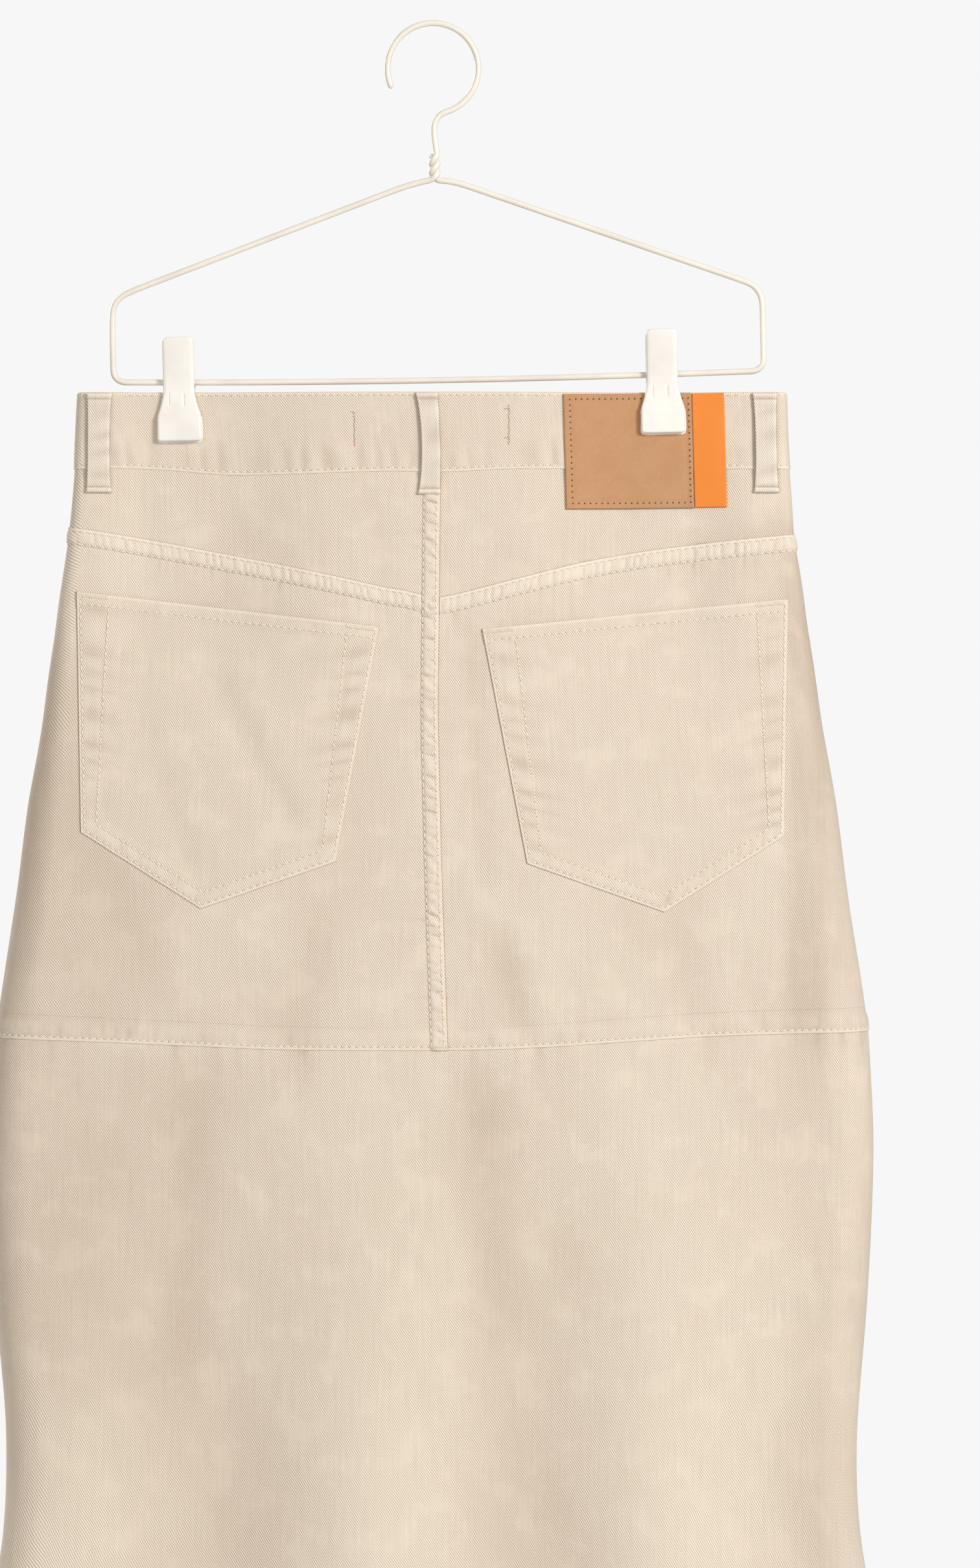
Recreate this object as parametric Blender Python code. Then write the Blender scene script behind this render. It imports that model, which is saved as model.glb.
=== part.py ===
"""Ecru denim mermaid skirt, hung by two clips from a wire hanger.

The world is in metres, +Z up. +X is to the right of someone who looks at the skirt's
back, and +Y runs from its back to its front. The origin is the top of the inside of the
hanger's hook, where a rail carries it.

Sizes below are in millimetres. A place on the cloth is (q, z). z is the height above the
waist's top edge, so it is negative. q runs round the body: 0 at the centre back, 1 where
the side starts to fold, 2 where the fold ends on the front, 3 at the centre front. The
left side has the same numbers with a minus sign. Everything sewn to the skirt is placed
by (q, z) and moved out square to the cloth's middle surface.
"""
import math
from collections import namedtuple

import bmesh
import bpy
from mathutils import Matrix, Vector

MM = 0.001
COLLECTION = "denim_mermaid_skirt"

# ---- driving sizes ----------------------------------------------------------------------
WAIST_BELOW_HOOK = 190.0
SKIRT_LENGTH = 860.0
HEM_LIFT_AT_SIDES = 12.0
SEAM_GAP = 0.3
LAID_GAP = 0.5
COVER_MARGIN = 2.5
DENIM = 1.2
WAISTBAND = 2.4
WAISTBAND_WIDTH = 40.0
FRONT_WAIST_DIP = 14.0
FELL_WIDTH = 8.6
FELL_RISE = 0.9
THIGH_BAND_WIDTH = 8.0
THIGH_BAND_RISE = 0.6
STEP_WIDTH = 0.8

# Level sections of the cloth's middle surface, from the waist's top edge down.
Section = namedtuple("Section", "drop half_width fold_radius half_depth")
SECTIONS = (
    Section(0, 182.7, 4.5, 7.0),
    Section(40, 184.6, 5.0, 8.5),
    Section(76, 187.9, 6.5, 11.0),
    Section(107, 192.4, 9.0, 13.5),
    Section(141, 197.7, 12.0, 16.0),
    Section(173, 202.1, 15.0, 18.5),
    Section(214, 209.2, 18.0, 21.0),
    Section(266, 215.7, 20.0, 23.5),
    Section(314, 223.1, 21.0, 25.0),
    Section(338, 225.9, 21.0, 25.5),
    Section(400, 228.0, 21.0, 26.5),
    Section(470, 225.0, 21.0, 27.5),
    Section(540, 219.5, 22.0, 29.0),
    Section(600, 222.0, 24.0, 32.0),
    Section(660, 236.0, 28.0, 37.0),
    Section(730, 262.0, 33.0, 43.0),
    Section(800, 295.0, 38.0, 49.0),
    Section(870, 329.0, 42.0, 54.0),
)

# Seams on the back, as drops below the waist's top edge.
Drop = namedtuple("Drop", "x drop")
WAIST_SEAM = (
    Drop(-185, 40.0),
    Drop(-160, 39.6),
    Drop(-137, 40.5),
    Drop(-105, 43.0),
    Drop(-72, 42.7),
    Drop(-22, 41.3),
    Drop(6, 41.7),
    Drop(45, 40.1),
    Drop(185, 40.0),
)
THIGH_SEAM = (
    Drop(-228, 333.5),
    Drop(-165, 335.8),
    Drop(-120, 337.7),
    Drop(-81, 339.3),
    Drop(-29, 339.7),
    Drop(25, 339.4),
    Drop(64, 337.8),
    Drop(102, 335.2),
    Drop(141, 332.8),
    Drop(180, 331.5),
    Drop(228, 330.5),
)
YokeDrop = namedtuple("YokeDrop", "distance left right")
YOKE_SEAM = (
    YokeDrop(0, 106.6, 107.2),
    YokeDrop(13, 103.2, 104.7),
    YokeDrop(24, 101.3, 101.9),
    YokeDrop(45, 96.5, 96.4),
    YokeDrop(78, 89.4, 88.1),
    YokeDrop(111, 83.0, 82.2),
    YokeDrop(145, 76.6, 77.8),
    YokeDrop(178, 71.2, 74.4),
    YokeDrop(200, 68.0, 72.6),
)
# The centre back seam's folded edge, a little right of centre.
Fold = namedtuple("Fold", "drop x")
CENTRE_BACK_FOLD = (
    Fold(38, 4.6),
    Fold(107, 4.0),
    Fold(165, 3.5),
    Fold(205, 4.3),
    Fold(255, 5.6),
    Fold(287, 6.7),
    Fold(342, 8.6),
)
CENTRE_FRONT_FOLD = -4.3
# The back waistband's two stretches meet under the centre back loop.
WAISTBAND_JOIN = -0.9

# Soft flutes of the lower part. A place is a share of the half girth, from the centre
# back (0) to the centre front (1 or -1). A flute grows from its start down to the hem.
Flute = namedtuple("Flute", "place start reach")
FLUTES = (
    Flute(-0.92, 352, -15.0),
    Flute(-0.76, 356, 16.0),
    Flute(-0.59, 350, -10.0),
    Flute(-0.41, 356, 12.0),
    Flute(-0.243, 344, -18.0),
    Flute(-0.077, 350, 17.0),
    Flute(0.10, 344, -20.0),
    Flute(0.253, 348, 18.0),
    Flute(0.41, 352, -11.0),
    Flute(0.58, 356, 10.0),
    Flute(0.75, 350, -17.0),
    Flute(0.92, 354, 15.0),
)
FLUTE_SPREAD = 0.085

# Pocket corners for the right side: distance from the centre line and drop.
Corner = namedtuple("Corner", "distance drop")
Pocket = namedtuple("Pocket", "side inner_top outer_top outer_bottom tip inner_bottom")
POCKETS = (
    Pocket("left", Corner(27.0, 121.8), Corner(183.5, 103.4), Corner(180.6, 227.6),
           Corner(118.6, 267.0), Corner(49.1, 242.8)),
    Pocket("right", Corner(25.8, 123.0), Corner(184.0, 107.3), Corner(181.3, 229.8),
           Corner(119.7, 268.8), Corner(49.0, 243.8)),
)
POCKET_CLOTH = 1.3
POCKET_MOUTH_GAPE = 1.2
POCKET_MOUTH_SHARE = 0.25

# Belt loops: their centre line on the back (or the front), width and length.
Loop = namedtuple("Loop", "name place x width drop_top drop_bottom")
BELT_LOOPS = (
    Loop("centre_back", "back", -0.9, 10.8, 1.2, 53.3),
    Loop("back_left", "back", -172.2, 11.6, 1.0, 52.2),
    Loop("back_right", "back", 172.4, 11.6, 1.0, 52.2),
    Loop("front_left", "front", -76.0, 11.6, 1.0, 52.2),
    Loop("front_right", "front", 76.0, 11.6, 1.0, 52.2),
)
LOOP_CLOTH = 2.0
LOOP_ARCH = 1.6
LOOP_FLARE = 0.8

# Waist patch and the strip beside it, on the back.
Patch = namedtuple("Patch", "name finish left right drop_top drop_bottom thickness")
PATCHES = (
    Patch("waist_patch", "kraft_board", 67.6, 134.3, 1.1, 60.8, 1.2),
    Patch("patch_strip", "orange_tape", 134.6, 151.2, 0.6, 59.8, 1.0),
)
PATCH_LEAN = 0.026

FLY_LENGTH = 140.0
FLY_BELOW_SEAM = 1.5
FLY_SHIELD_WIDTH = 40.0
ZIP_LENGTH = 132.0
ZIP_WIDTH = 26.0
ZIP_THICKNESS = 1.0
BUTTON_RADIUS = 8.5
BUTTON_HEIGHT = 3.6
BUTTON_DROP = 34.0
BUTTON_X = 8.6
# The button's turned profile, as shares of its radius and height.
Ring = namedtuple("Ring", "radius height")
BUTTON_PROFILE = (
    Ring(0.0, 0.78),
    Ring(0.30, 0.80),
    Ring(0.55, 0.90),
    Ring(0.78, 1.0),
    Ring(0.93, 0.86),
    Ring(1.0, 0.52),
    Ring(0.96, 0.22),
    Ring(0.50, 0.10),
    Ring(0.50, 0.0),
    Ring(0.0, 0.0),
)

# Hanger, in its own upright position before it tilts about the hook.
HANGER_TILT = math.radians(1.02)
WIRE = 1.55
HOOK_RADIUS = 23.55
BAR_BELOW_HOOK = 181.7
BAR_HALF_SPAN = 168.5
BAR_BOW = 1.9
CORNER_RADIUS = 6.0
UPRIGHT_HEIGHT = 35.0
SHOULDER_RADIUS = 12.0
ARM_SLOPE = math.radians(20.0)
NECK_RADIUS = 3.2
NECK_LENGTH = 20.0
NECK_BELOW_ARMS = 8.0
HOOK_BEND = 9.0
HOOK_TIP = math.radians(205)

# Clips: their places along the bar, and a jaw's sections down from its lever.
CLIP_PLACES = {"left": -134.3, "right": 115.8}
GRIP_DEPTH = WAISTBAND / 2 + SEAM_GAP / 2
GRIP_HALF_WIDTH = 12.5
GRIP_REACH_IN = 80.0
GRIP_REACH_OUT = 46.0
GRIP_DROP = 32.0
GRIP_FADE = 185.0
JAW_CORNER = 1.5
JAW_BELOW_WIRE = -3.0
Jaw = namedtuple("Jaw", "height half_width inner outer")
JAW_ROWS = (
    Jaw(23.0, 5.6, 7.6, 8.8),
    Jaw(22.0, 7.0, 7.0, 9.3),
    Jaw(19.5, 7.9, 6.2, 9.1),
    Jaw(12.0, 8.0, 4.4, 7.6),
    Jaw(3.6, 8.0, 2.9, 6.3),
    Jaw(0.0, 8.0, 1.9, 6.0),
    Jaw(-3.4, 8.0, 2.9, 5.9),
    Jaw(-6.0, 8.0, 2.9, 5.9),
    Jaw(-12.0, 9.4, 2.9, 6.0),
    Jaw(-17.0, 10.9, 2.9, 6.0),
    Jaw(-18.0, 11.3, 2.9, 6.7),
    Jaw(-29.6, 11.3, 2.9, 6.7),
    Jaw(-30.6, 10.3, 2.9, 6.1),
)
CLIP_STACK_FOR_PATCH = 1.7
# One leg of a clip's U spring, from its foot on the wire up to the lever.
Leg = namedtuple("Leg", "away height")
SPRING_LEG = (
    Leg(0.0, 2.7),
    Leg(1.1, 3.0),
    Leg(1.8, 3.9),
    Leg(2.2, 5.5),
    Leg(3.4, 11.0),
    Leg(4.75, 16.5),
)
SPRING_THICKNESS = 0.8
SPRING_HALF_WIDTH = 4.0

# ---- how fine each piece is -------------------------------------------------------------
FACE_COLUMNS = 12
FOLD_COLUMNS = 6
BACK_ROWS = 12
LOWER_FACE_COLUMNS = 20
LOWER_ROWS = 16
WAISTBAND_FACE_COLUMNS = 16
WAISTBAND_ROWS = 2
YOKE_ROWS = 4
FRONT_ROWS = 12
POCKET_COLUMNS = 12
POCKET_ROWS = 10
LOOP_ROWS = 10
PATCH_COLUMN = 6.7
PATCH_ROWS = 8
FLY_ROWS = 8
BUTTON_SIDES = 24
NECK_SIDES = 12
WIRE_CURVE_STEP = math.radians(15.0)
BAR_STEPS = 12

ONCE_ROUND = 6
# A grid line: its share of the way across, a shift in mm from there, and its rise.
Stop = namedtuple("Stop", "share shift rise")
Finish = namedtuple("Finish", "colour roughness metallic")
FINISHES = {
    "denim": Finish((0.77, 0.66, 0.52), 0.88, 0.0),
    "kraft_board": Finish((0.64, 0.39, 0.21), 0.72, 0.0),
    "orange_tape": Finish((0.98, 0.30, 0.06), 0.70, 0.0),
    "clip_plastic": Finish((0.90, 0.87, 0.80), 0.38, 0.0),
    "coated_wire": Finish((0.90, 0.86, 0.78), 0.32, 0.0),
    "spring_steel": Finish((0.60, 0.60, 0.58), 0.35, 1.0),
    "button_brass": Finish((0.55, 0.42, 0.24), 0.35, 1.0),
}


# ---- reading tables ---------------------------------------------------------------------
def read(rows, along, column, at):
    """A smooth curve through one column of a table, flat beyond its ends."""
    places = [getattr(row, along) for row in rows]
    values = [getattr(row, column) for row in rows]
    if at <= places[0]:
        return values[0]
    if at >= places[-1]:
        return values[-1]
    i = max(k for k, place in enumerate(places) if place <= at)
    span = places[i + 1] - places[i]

    def slope(k):
        low, high = max(k - 1, 0), min(k + 1, len(rows) - 1)
        return (values[high] - values[low]) / (places[high] - places[low])

    t = (at - places[i]) / span
    start, end = values[i], values[i + 1]
    bend = t * t * (3 - 2 * t)
    rise = slope(i) * span * t * (1 - t) ** 2 - slope(i + 1) * span * t * t * (1 - t)
    return start + (end - start) * bend + rise


def ease(t):
    t = min(max(t, 0.0), 1.0)
    return t * t * (3 - 2 * t)


def mix(a, b, t):
    return a + (b - a) * t


# ---- the body: the middle surface of the cloth ------------------------------------------
def section(z):
    half_width, fold, depth = (read(SECTIONS, "drop", key, -z) for key in Section._fields[1:])
    return half_width - fold, fold, depth


def clip_x(side):
    """Where a clip's middle comes on the waist, once the hanger has tilted."""
    return CLIP_PLACES[side] + BAR_BELOW_HOOK * math.tan(HANGER_TILT)


def grip(x, z):
    """1 where a clip presses the waist flat, fading to 0 round it."""
    fade = 1 - ease((-z - GRIP_DROP) / (GRIP_FADE - GRIP_DROP))
    near = 0.0
    for side in CLIP_PLACES:
        clip = clip_x(side)
        reach = GRIP_REACH_IN if abs(x) < abs(clip) else GRIP_REACH_OUT
        away = (abs(x - clip) - GRIP_HALF_WIDTH) / (reach - GRIP_HALF_WIDTH)
        near = max(near, 1 - ease(away))
    return fade * near


def girth_share(q, z):
    """Distance round the body from the centre back, as a share of the half girth."""
    face, fold, _ = section(z)
    side = math.pi * fold
    a = abs(q)
    length = min(a, 1) * face + min(max(a - 1, 0), 1) * side + max(a - 2, 0) * face
    return math.copysign(length / (2 * face + side), q)


def flute(q, z):
    """How far the soft flutes move the cloth out at a place."""
    here = girth_share(q, z)
    total = 0.0
    for row in FLUTES:
        grown = max(-z - row.start, 0) / (SKIRT_LENGTH - row.start)
        away = (here - row.place + 1) % 2 - 1
        total += row.reach * grown ** 0.95 * math.exp(-(away / FLUTE_SPREAD) ** 2)
    return total


def middle(q, z):
    """The point of the cloth's middle surface at (q, z), in mm from the waist's top."""
    face, fold, depth = section(z)
    a = abs(q)
    side = math.copysign(1.0, q)
    if 1 < a < 2:
        turn = math.pi * (a - 1)
        out_x, out_y = math.sin(turn), -math.cos(turn)
        x, y = face + fold * out_x, fold * out_y
    else:
        share, out_x, out_y = (a, 0.0, -1.0) if a <= 1 else (3 - a, 0.0, 1.0)
        x = share * face
        bulge = fold + (depth - fold) * (1 - min(share * share, 1)) ** 2
        y = out_y * mix(bulge, GRIP_DEPTH, grip(side * x, z))
    move = flute(q, z)
    return Vector((side * (x + out_x * move), y + out_y * move, z))


def seat(q, z, out):
    """A point a distance out from the middle surface, square to it, in world mm."""
    dq, dz = 0.01, 0.5
    across = middle(q + dq, z) - middle(q - dq, z)
    down = middle(q, z - dz) - middle(q, z + dz)
    normal = down.cross(across).normalized()
    return middle(q, z) + normal * out - Vector((0, 0, WAIST_BELOW_HOOK))


def q_on_back(x, z):
    """q of a place on the back that is seen at x."""
    face, fold, _ = section(z)
    a = abs(x)
    if a <= face:
        return x / face
    return math.copysign(1 + math.asin(min((a - face) / fold, 1)) / math.pi, x)


def q_on_front(x, z):
    return math.copysign(3 - abs(x) / section(z)[0], x if x else 1.0)


def side_seam(z, half_gap):
    """q of the side seam, at the front end of the side fold, less or plus half its gap."""
    face, fold, _ = section(z)
    return 2 - half_gap / (math.pi * fold) if half_gap > 0 else 2 - half_gap / face


# ---- seams, as heights z at a place -----------------------------------------------------
def waist_edge(q, x):
    return -FRONT_WAIST_DIP * ease(abs(q) - 2)


def waist_seam(q, x):
    if abs(q) > 2:
        return waist_edge(q, x) - WAISTBAND_WIDTH
    return -read(WAIST_SEAM, "x", "drop", x)


def yoke_seam(q, x):
    return -read(YOKE_SEAM, "distance", "left" if x < 0 else "right", abs(x))


def thigh_seam(q, x):
    if abs(q) <= 2:
        return -read(THIGH_SEAM, "x", "drop", x)
    reach = section(-THIGH_SEAM[0].drop)[0]
    left, right = (read(THIGH_SEAM, "x", "drop", end) for end in (-reach, reach))
    return -mix(left, right, (x / reach + 1) / 2)


def hem(q, x):
    return -SKIRT_LENGTH + HEM_LIFT_AT_SIDES * (x / SECTIONS[-1].half_width) ** 2


def centre_back_fold(z):
    return read(CENTRE_BACK_FOLD, "drop", "x", -z)


def below(edge):
    """The same edge, lowered by half a seam's gap."""
    return lambda q, x: edge(q, x) - SEAM_GAP / 2


def above(edge):
    return lambda q, x: edge(q, x) + SEAM_GAP / 2


# ---- building solids --------------------------------------------------------------------
def finish_for(name):
    if name in bpy.data.materials:
        return bpy.data.materials[name]
    look = FINISHES[name]
    material = bpy.data.materials.new(name)
    material.use_nodes = True
    shader = material.node_tree.nodes["Principled BSDF"]
    shader.inputs["Base Color"].default_value = (*look.colour, 1.0)
    shader.inputs["Roughness"].default_value = look.roughness
    shader.inputs["Metallic"].default_value = look.metallic
    material.diffuse_color = (*look.colour, 1.0)
    return material


def add_object(name, data, finish):
    thing = bpy.data.objects.new(name, data)
    bpy.data.collections[COLLECTION].objects.link(thing)
    data.materials.append(finish_for(finish))
    return thing


def mesh_object(name, bm, finish):
    bmesh.ops.recalc_face_normals(bm, faces=bm.faces)
    data = bpy.data.meshes.new(name)
    bm.to_mesh(data)
    bm.free()
    data.shade_smooth()
    data.set_sharp_from_angle(angle=math.radians(40))
    return add_object(name, data, finish)


def wall(name, finish, outer, inner):
    """A closed wall between two grids of points in mm, outer and inner."""
    rows, columns = len(outer), len(outer[0])
    bm = bmesh.new()
    skins = [[[bm.verts.new(point * MM) for point in row] for row in grid]
             for grid in (outer, inner)]
    for skin in skins:
        for i in range(rows - 1):
            for j in range(columns - 1):
                bm.faces.new((skin[i][j], skin[i][j + 1], skin[i + 1][j + 1], skin[i + 1][j]))
    front, back = skins
    for i in (0, rows - 1):
        for j in range(columns - 1):
            bm.faces.new((front[i][j], front[i][j + 1], back[i][j + 1], back[i][j]))
    for j in (0, columns - 1):
        for i in range(rows - 1):
            bm.faces.new((front[i][j], front[i + 1][j], back[i + 1][j], back[i][j]))
    return mesh_object(name, bm, finish)


def loft(name, finish, rings):
    """A closed solid through rings of the same number of points, capped at both ends."""
    bm = bmesh.new()
    loops = [[bm.verts.new(point * MM) for point in ring] for ring in rings]
    for low, high in zip(loops, loops[1:]):
        for k, vert in enumerate(low):
            following = (k + 1) % len(low)
            bm.faces.new((vert, low[following], high[following], high[k]))
    bm.faces.new(loops[0])
    bm.faces.new(loops[-1])
    return mesh_object(name, bm, finish)


def even_stops(count, first=0.0, last=1.0):
    return [Stop(mix(first, last, k / count), 0.0, 0.0) for k in range(count + 1)]


def banded(stops, width, rise, at_start):
    """Grid lines with a raised band of a width along the start or the end."""
    edge = (Stop(0, 0, rise), Stop(0, width, rise), Stop(0, width + STEP_WIDTH, 0))
    if at_start:
        return list(edge) + stops[1:]
    return stops[:-1] + [Stop(1, -stop.shift, stop.rise) for stop in reversed(edge)]


def panel(name, columns, rows, top, bottom, q_of, half=DENIM / 2):
    """A cloth panel between two seams. q_of(column, z) gives a column's q at a height."""
    outer, inner = [], []
    for row in rows:
        outer.append([])
        inner.append([])
        for column in columns:
            z = top(0, 0)
            for _ in range(6):
                q = q_of(column, z)
                x = middle(q, z).x
                z = mix(top(q, x), bottom(q, x), row.share) - row.shift
            rise = max(row.rise, column.rise)
            outer[-1].append(seat(q, z, half + rise))
            inner[-1].append(seat(q, z, -half))
    return wall(name, "denim", outer, inner)


def back_q(side, centre_seam):
    """q of a column of a back piece, from a seam near the centre to the side seam.

    Shares up to 1 cross the face, and shares from 1 to 2 go round the side fold.
    """
    sign, gap = (1, SEAM_GAP) if side == "right" else (-1, 0)

    def q_of(column, z):
        start = (centre_seam(z) * sign + gap) / section(z)[0]
        if column.share <= 1:
            away = mix(start, 1.0, column.share) + column.shift / section(z)[0]
        else:
            away = mix(1.0, side_seam(z, SEAM_GAP / 2), column.share - 1)
        return sign * away

    return q_of


def front_q(side, overlaps):
    """q of a column of a front panel, from the side seam to the centre front."""
    sign = 1 if side == "right" else -1

    def q_of(column, z):
        seam_x = CENTRE_FRONT_FOLD if overlaps else CENTRE_FRONT_FOLD - SEAM_GAP
        end = 3 - seam_x * sign / section(z)[0]
        away = mix(side_seam(z, -SEAM_GAP / 2), end, column.share)
        return sign * (away + column.shift / section(z)[0])

    return q_of


def whole_back_q(column, z):
    """q of a column that crosses the whole back: -1 to 1 on the face, then the folds."""
    a = abs(column.share)
    if a <= 1:
        return column.share
    return math.copysign(mix(1, side_seam(z, SEAM_GAP / 2), a - 1), column.share)


def whole_back_columns(face_columns):
    fold = even_stops(FOLD_COLUMNS, 1, 2)[1:]
    mirrored = [Stop(-stop.share, 0, 0) for stop in reversed(fold)]
    return mirrored + even_stops(face_columns, -1, 1) + fold


def back_columns(face_columns, has_band):
    face = even_stops(face_columns)
    if has_band:
        face = banded(face, FELL_WIDTH, FELL_RISE, True)
    return face + even_stops(FOLD_COLUMNS, 1, 2)[1:]


def make_back():
    """The two yokes and the two upper back panels. The left ones own the felled fold."""
    for side, has_band in (("left", True), ("right", False)):
        columns = back_columns(FACE_COLUMNS, has_band)
        q_of = back_q(side, centre_back_fold)
        panel(f"yoke_{side}", columns, even_stops(YOKE_ROWS), below(waist_seam),
              above(yoke_seam), q_of)
        rows = banded(even_stops(BACK_ROWS), FELL_WIDTH, FELL_RISE, True)
        rows = banded(rows, THIGH_BAND_WIDTH, THIGH_BAND_RISE, False)
        panel(f"back_{side}", columns, rows, below(yoke_seam), above(thigh_seam), q_of)


def make_front():
    """The two upper front panels. The right one lies over the left at the centre."""
    for side, overlaps in (("left", False), ("right", True)):
        columns = even_stops(FACE_COLUMNS)
        if overlaps:
            columns = banded(columns, FELL_WIDTH, FELL_RISE, False)
        rows = banded(even_stops(FRONT_ROWS), THIGH_BAND_WIDTH, THIGH_BAND_RISE, False)
        panel(f"front_{side}", columns, rows, below(waist_seam), above(thigh_seam),
              front_q(side, overlaps))


def make_lower():
    """The flared lower part, one panel for the back and one for the front."""
    def front_from_right_to_left(column, z):
        start = side_seam(z, -SEAM_GAP / 2)
        return mix(start, ONCE_ROUND - start, column.share)

    rows = even_stops(LOWER_ROWS)
    panel("lower_back", whole_back_columns(LOWER_FACE_COLUMNS), rows,
          below(thigh_seam), hem, whole_back_q)
    panel("lower_front", even_stops(LOWER_FACE_COLUMNS), rows,
          below(thigh_seam), hem, front_from_right_to_left)


def make_waistband():
    """The waistband: two back stretches, and two front ones that meet at the button."""
    rows = even_stops(WAISTBAND_ROWS)
    for side, overlaps in (("left", False), ("right", True)):
        columns = back_columns(WAISTBAND_FACE_COLUMNS, False)
        panel(f"waistband_back_{side}", columns, rows, waist_edge, above(waist_seam),
              back_q(side, lambda z: WAISTBAND_JOIN), WAISTBAND / 2)
        columns = even_stops(WAISTBAND_FACE_COLUMNS)
        panel(f"waistband_front_{side}", columns, rows, waist_edge, above(waist_seam),
              front_q(side, overlaps), WAISTBAND / 2)


# ---- what lies on the cloth -------------------------------------------------------------
def skin(q, z):
    """Height of the cloth's outer face over its middle surface."""
    x = middle(q, z).x
    if z > waist_seam(q, x):
        return WAISTBAND / 2
    if abs(q) <= 2:
        from_fold = centre_back_fold(z) - x
        under_yoke = yoke_seam(q, x) - z
        felled = (0 <= from_fold <= FELL_WIDTH + STEP_WIDTH
                  or 0 <= under_yoke <= FELL_WIDTH + STEP_WIDTH)
        return DENIM / 2 + (FELL_RISE if felled else 0)
    return DENIM / 2


def cover(places):
    """How far out something must start to clear the cloth round some places."""
    nearby = (-COVER_MARGIN, 0, COVER_MARGIN)
    return LAID_GAP + max(skin(q, z + dz) for q, z in places for dz in nearby)


def laid_on(name, finish, grid, thickness, lift=None):
    """A piece on the cloth: a grid of (q, z), each row clearing what is under it."""
    outer, inner = [], []
    for i, row in enumerate(grid):
        start = cover(row) + (lift(i / (len(grid) - 1)) if lift else 0)
        outer.append([seat(q, z, start + thickness) for q, z in row])
        inner.append([seat(q, z, start) for q, z in row])
    return wall(name, finish, outer, inner)


def make_pockets():
    """Two patch pockets with a pointed foot, each a grid between its edges."""
    for pocket in POCKETS:
        sign = 1 if pocket.side == "right" else -1
        grid = []
        for i in range(POCKET_ROWS + 1):
            row = []
            for j in range(POCKET_COLUMNS + 1):
                s, t = j / POCKET_COLUMNS, i / POCKET_ROWS
                foot = ((pocket.inner_bottom, pocket.tip) if s <= 0.5
                        else (pocket.tip, pocket.outer_bottom))
                part = s * 2 if s <= 0.5 else s * 2 - 1
                top_x = mix(pocket.inner_top.distance, pocket.outer_top.distance, s)
                top_z = -mix(pocket.inner_top.drop, pocket.outer_top.drop, s)
                foot_x = mix(foot[0].distance, foot[1].distance, part)
                foot_z = -mix(foot[0].drop, foot[1].drop, part)
                z = mix(top_z, foot_z, t)
                row.append((q_on_back(sign * mix(top_x, foot_x, t), z), z))
            grid.append(row)
        laid_on(f"pocket_{pocket.side}", "denim", grid, POCKET_CLOTH,
                lambda t: POCKET_MOUTH_GAPE * (1 - ease(t / POCKET_MOUTH_SHARE)))


def make_belt_loops():
    """Five loops, each a little wider at its two sewn ends and arched between them."""
    for loop in BELT_LOOPS:
        q_at = q_on_back if loop.place == "back" else q_on_front
        grid = []
        for i in range(LOOP_ROWS + 1):
            t = i / LOOP_ROWS
            end = abs(2 * t - 1)
            half = loop.width / 2 + LOOP_FLARE * end ** 3
            z = -mix(loop.drop_top, loop.drop_bottom, t)
            if loop.place == "front":
                z += waist_edge(q_at(loop.x, z), loop.x)
            grid.append([(q_at(loop.x + half * k, z), z) for k in (-1, 0, 1)])
        laid_on(f"belt_loop_{loop.name}", "denim", grid, LOOP_CLOTH,
                lambda t: LOOP_ARCH * math.sin(math.pi * t) ** 0.7)


def make_patches():
    """The board patch and the tape strip beside it, both leaning a little."""
    for patch in PATCHES:
        columns = math.ceil((patch.right - patch.left) / PATCH_COLUMN)
        grid = []
        for i in range(PATCH_ROWS + 1):
            z = -mix(patch.drop_top, patch.drop_bottom, i / PATCH_ROWS)
            slip = PATCH_LEAN * (-z - patch.drop_top)
            grid.append([(q_on_back(mix(patch.left, patch.right, j / columns) + slip, z), z)
                         for j in range(columns + 1)])
        laid_on(patch.name, patch.finish, grid, patch.thickness)


def inside_strip(name, width, drop_top, drop_bottom, start, thickness):
    """A strip behind the fly, at a depth under the middle surface."""
    outer, inner = [], []
    for i in range(FLY_ROWS + 1):
        z = -mix(drop_top, drop_bottom, i / FLY_ROWS)
        places = [(3 + k * width / 2 / section(z)[0], z) for k in (-1, 0, 1)]
        outer.append([seat(q, z, -start) for q, z in places])
        inner.append([seat(q, z, -start - thickness) for q, z in places])
    return wall(name, "denim", outer, inner)


def make_fly():
    """Behind the centre front: the closed zip on its tape, then the shield."""
    top = FRONT_WAIST_DIP + WAISTBAND_WIDTH + FLY_BELOW_SEAM
    zip_start = DENIM / 2 + SEAM_GAP
    inside_strip("fly_zip", ZIP_WIDTH, top, top + ZIP_LENGTH, zip_start, ZIP_THICKNESS)
    inside_strip("fly_shield", FLY_SHIELD_WIDTH, top, top + FLY_LENGTH,
                 zip_start + ZIP_THICKNESS + SEAM_GAP, DENIM)


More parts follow.
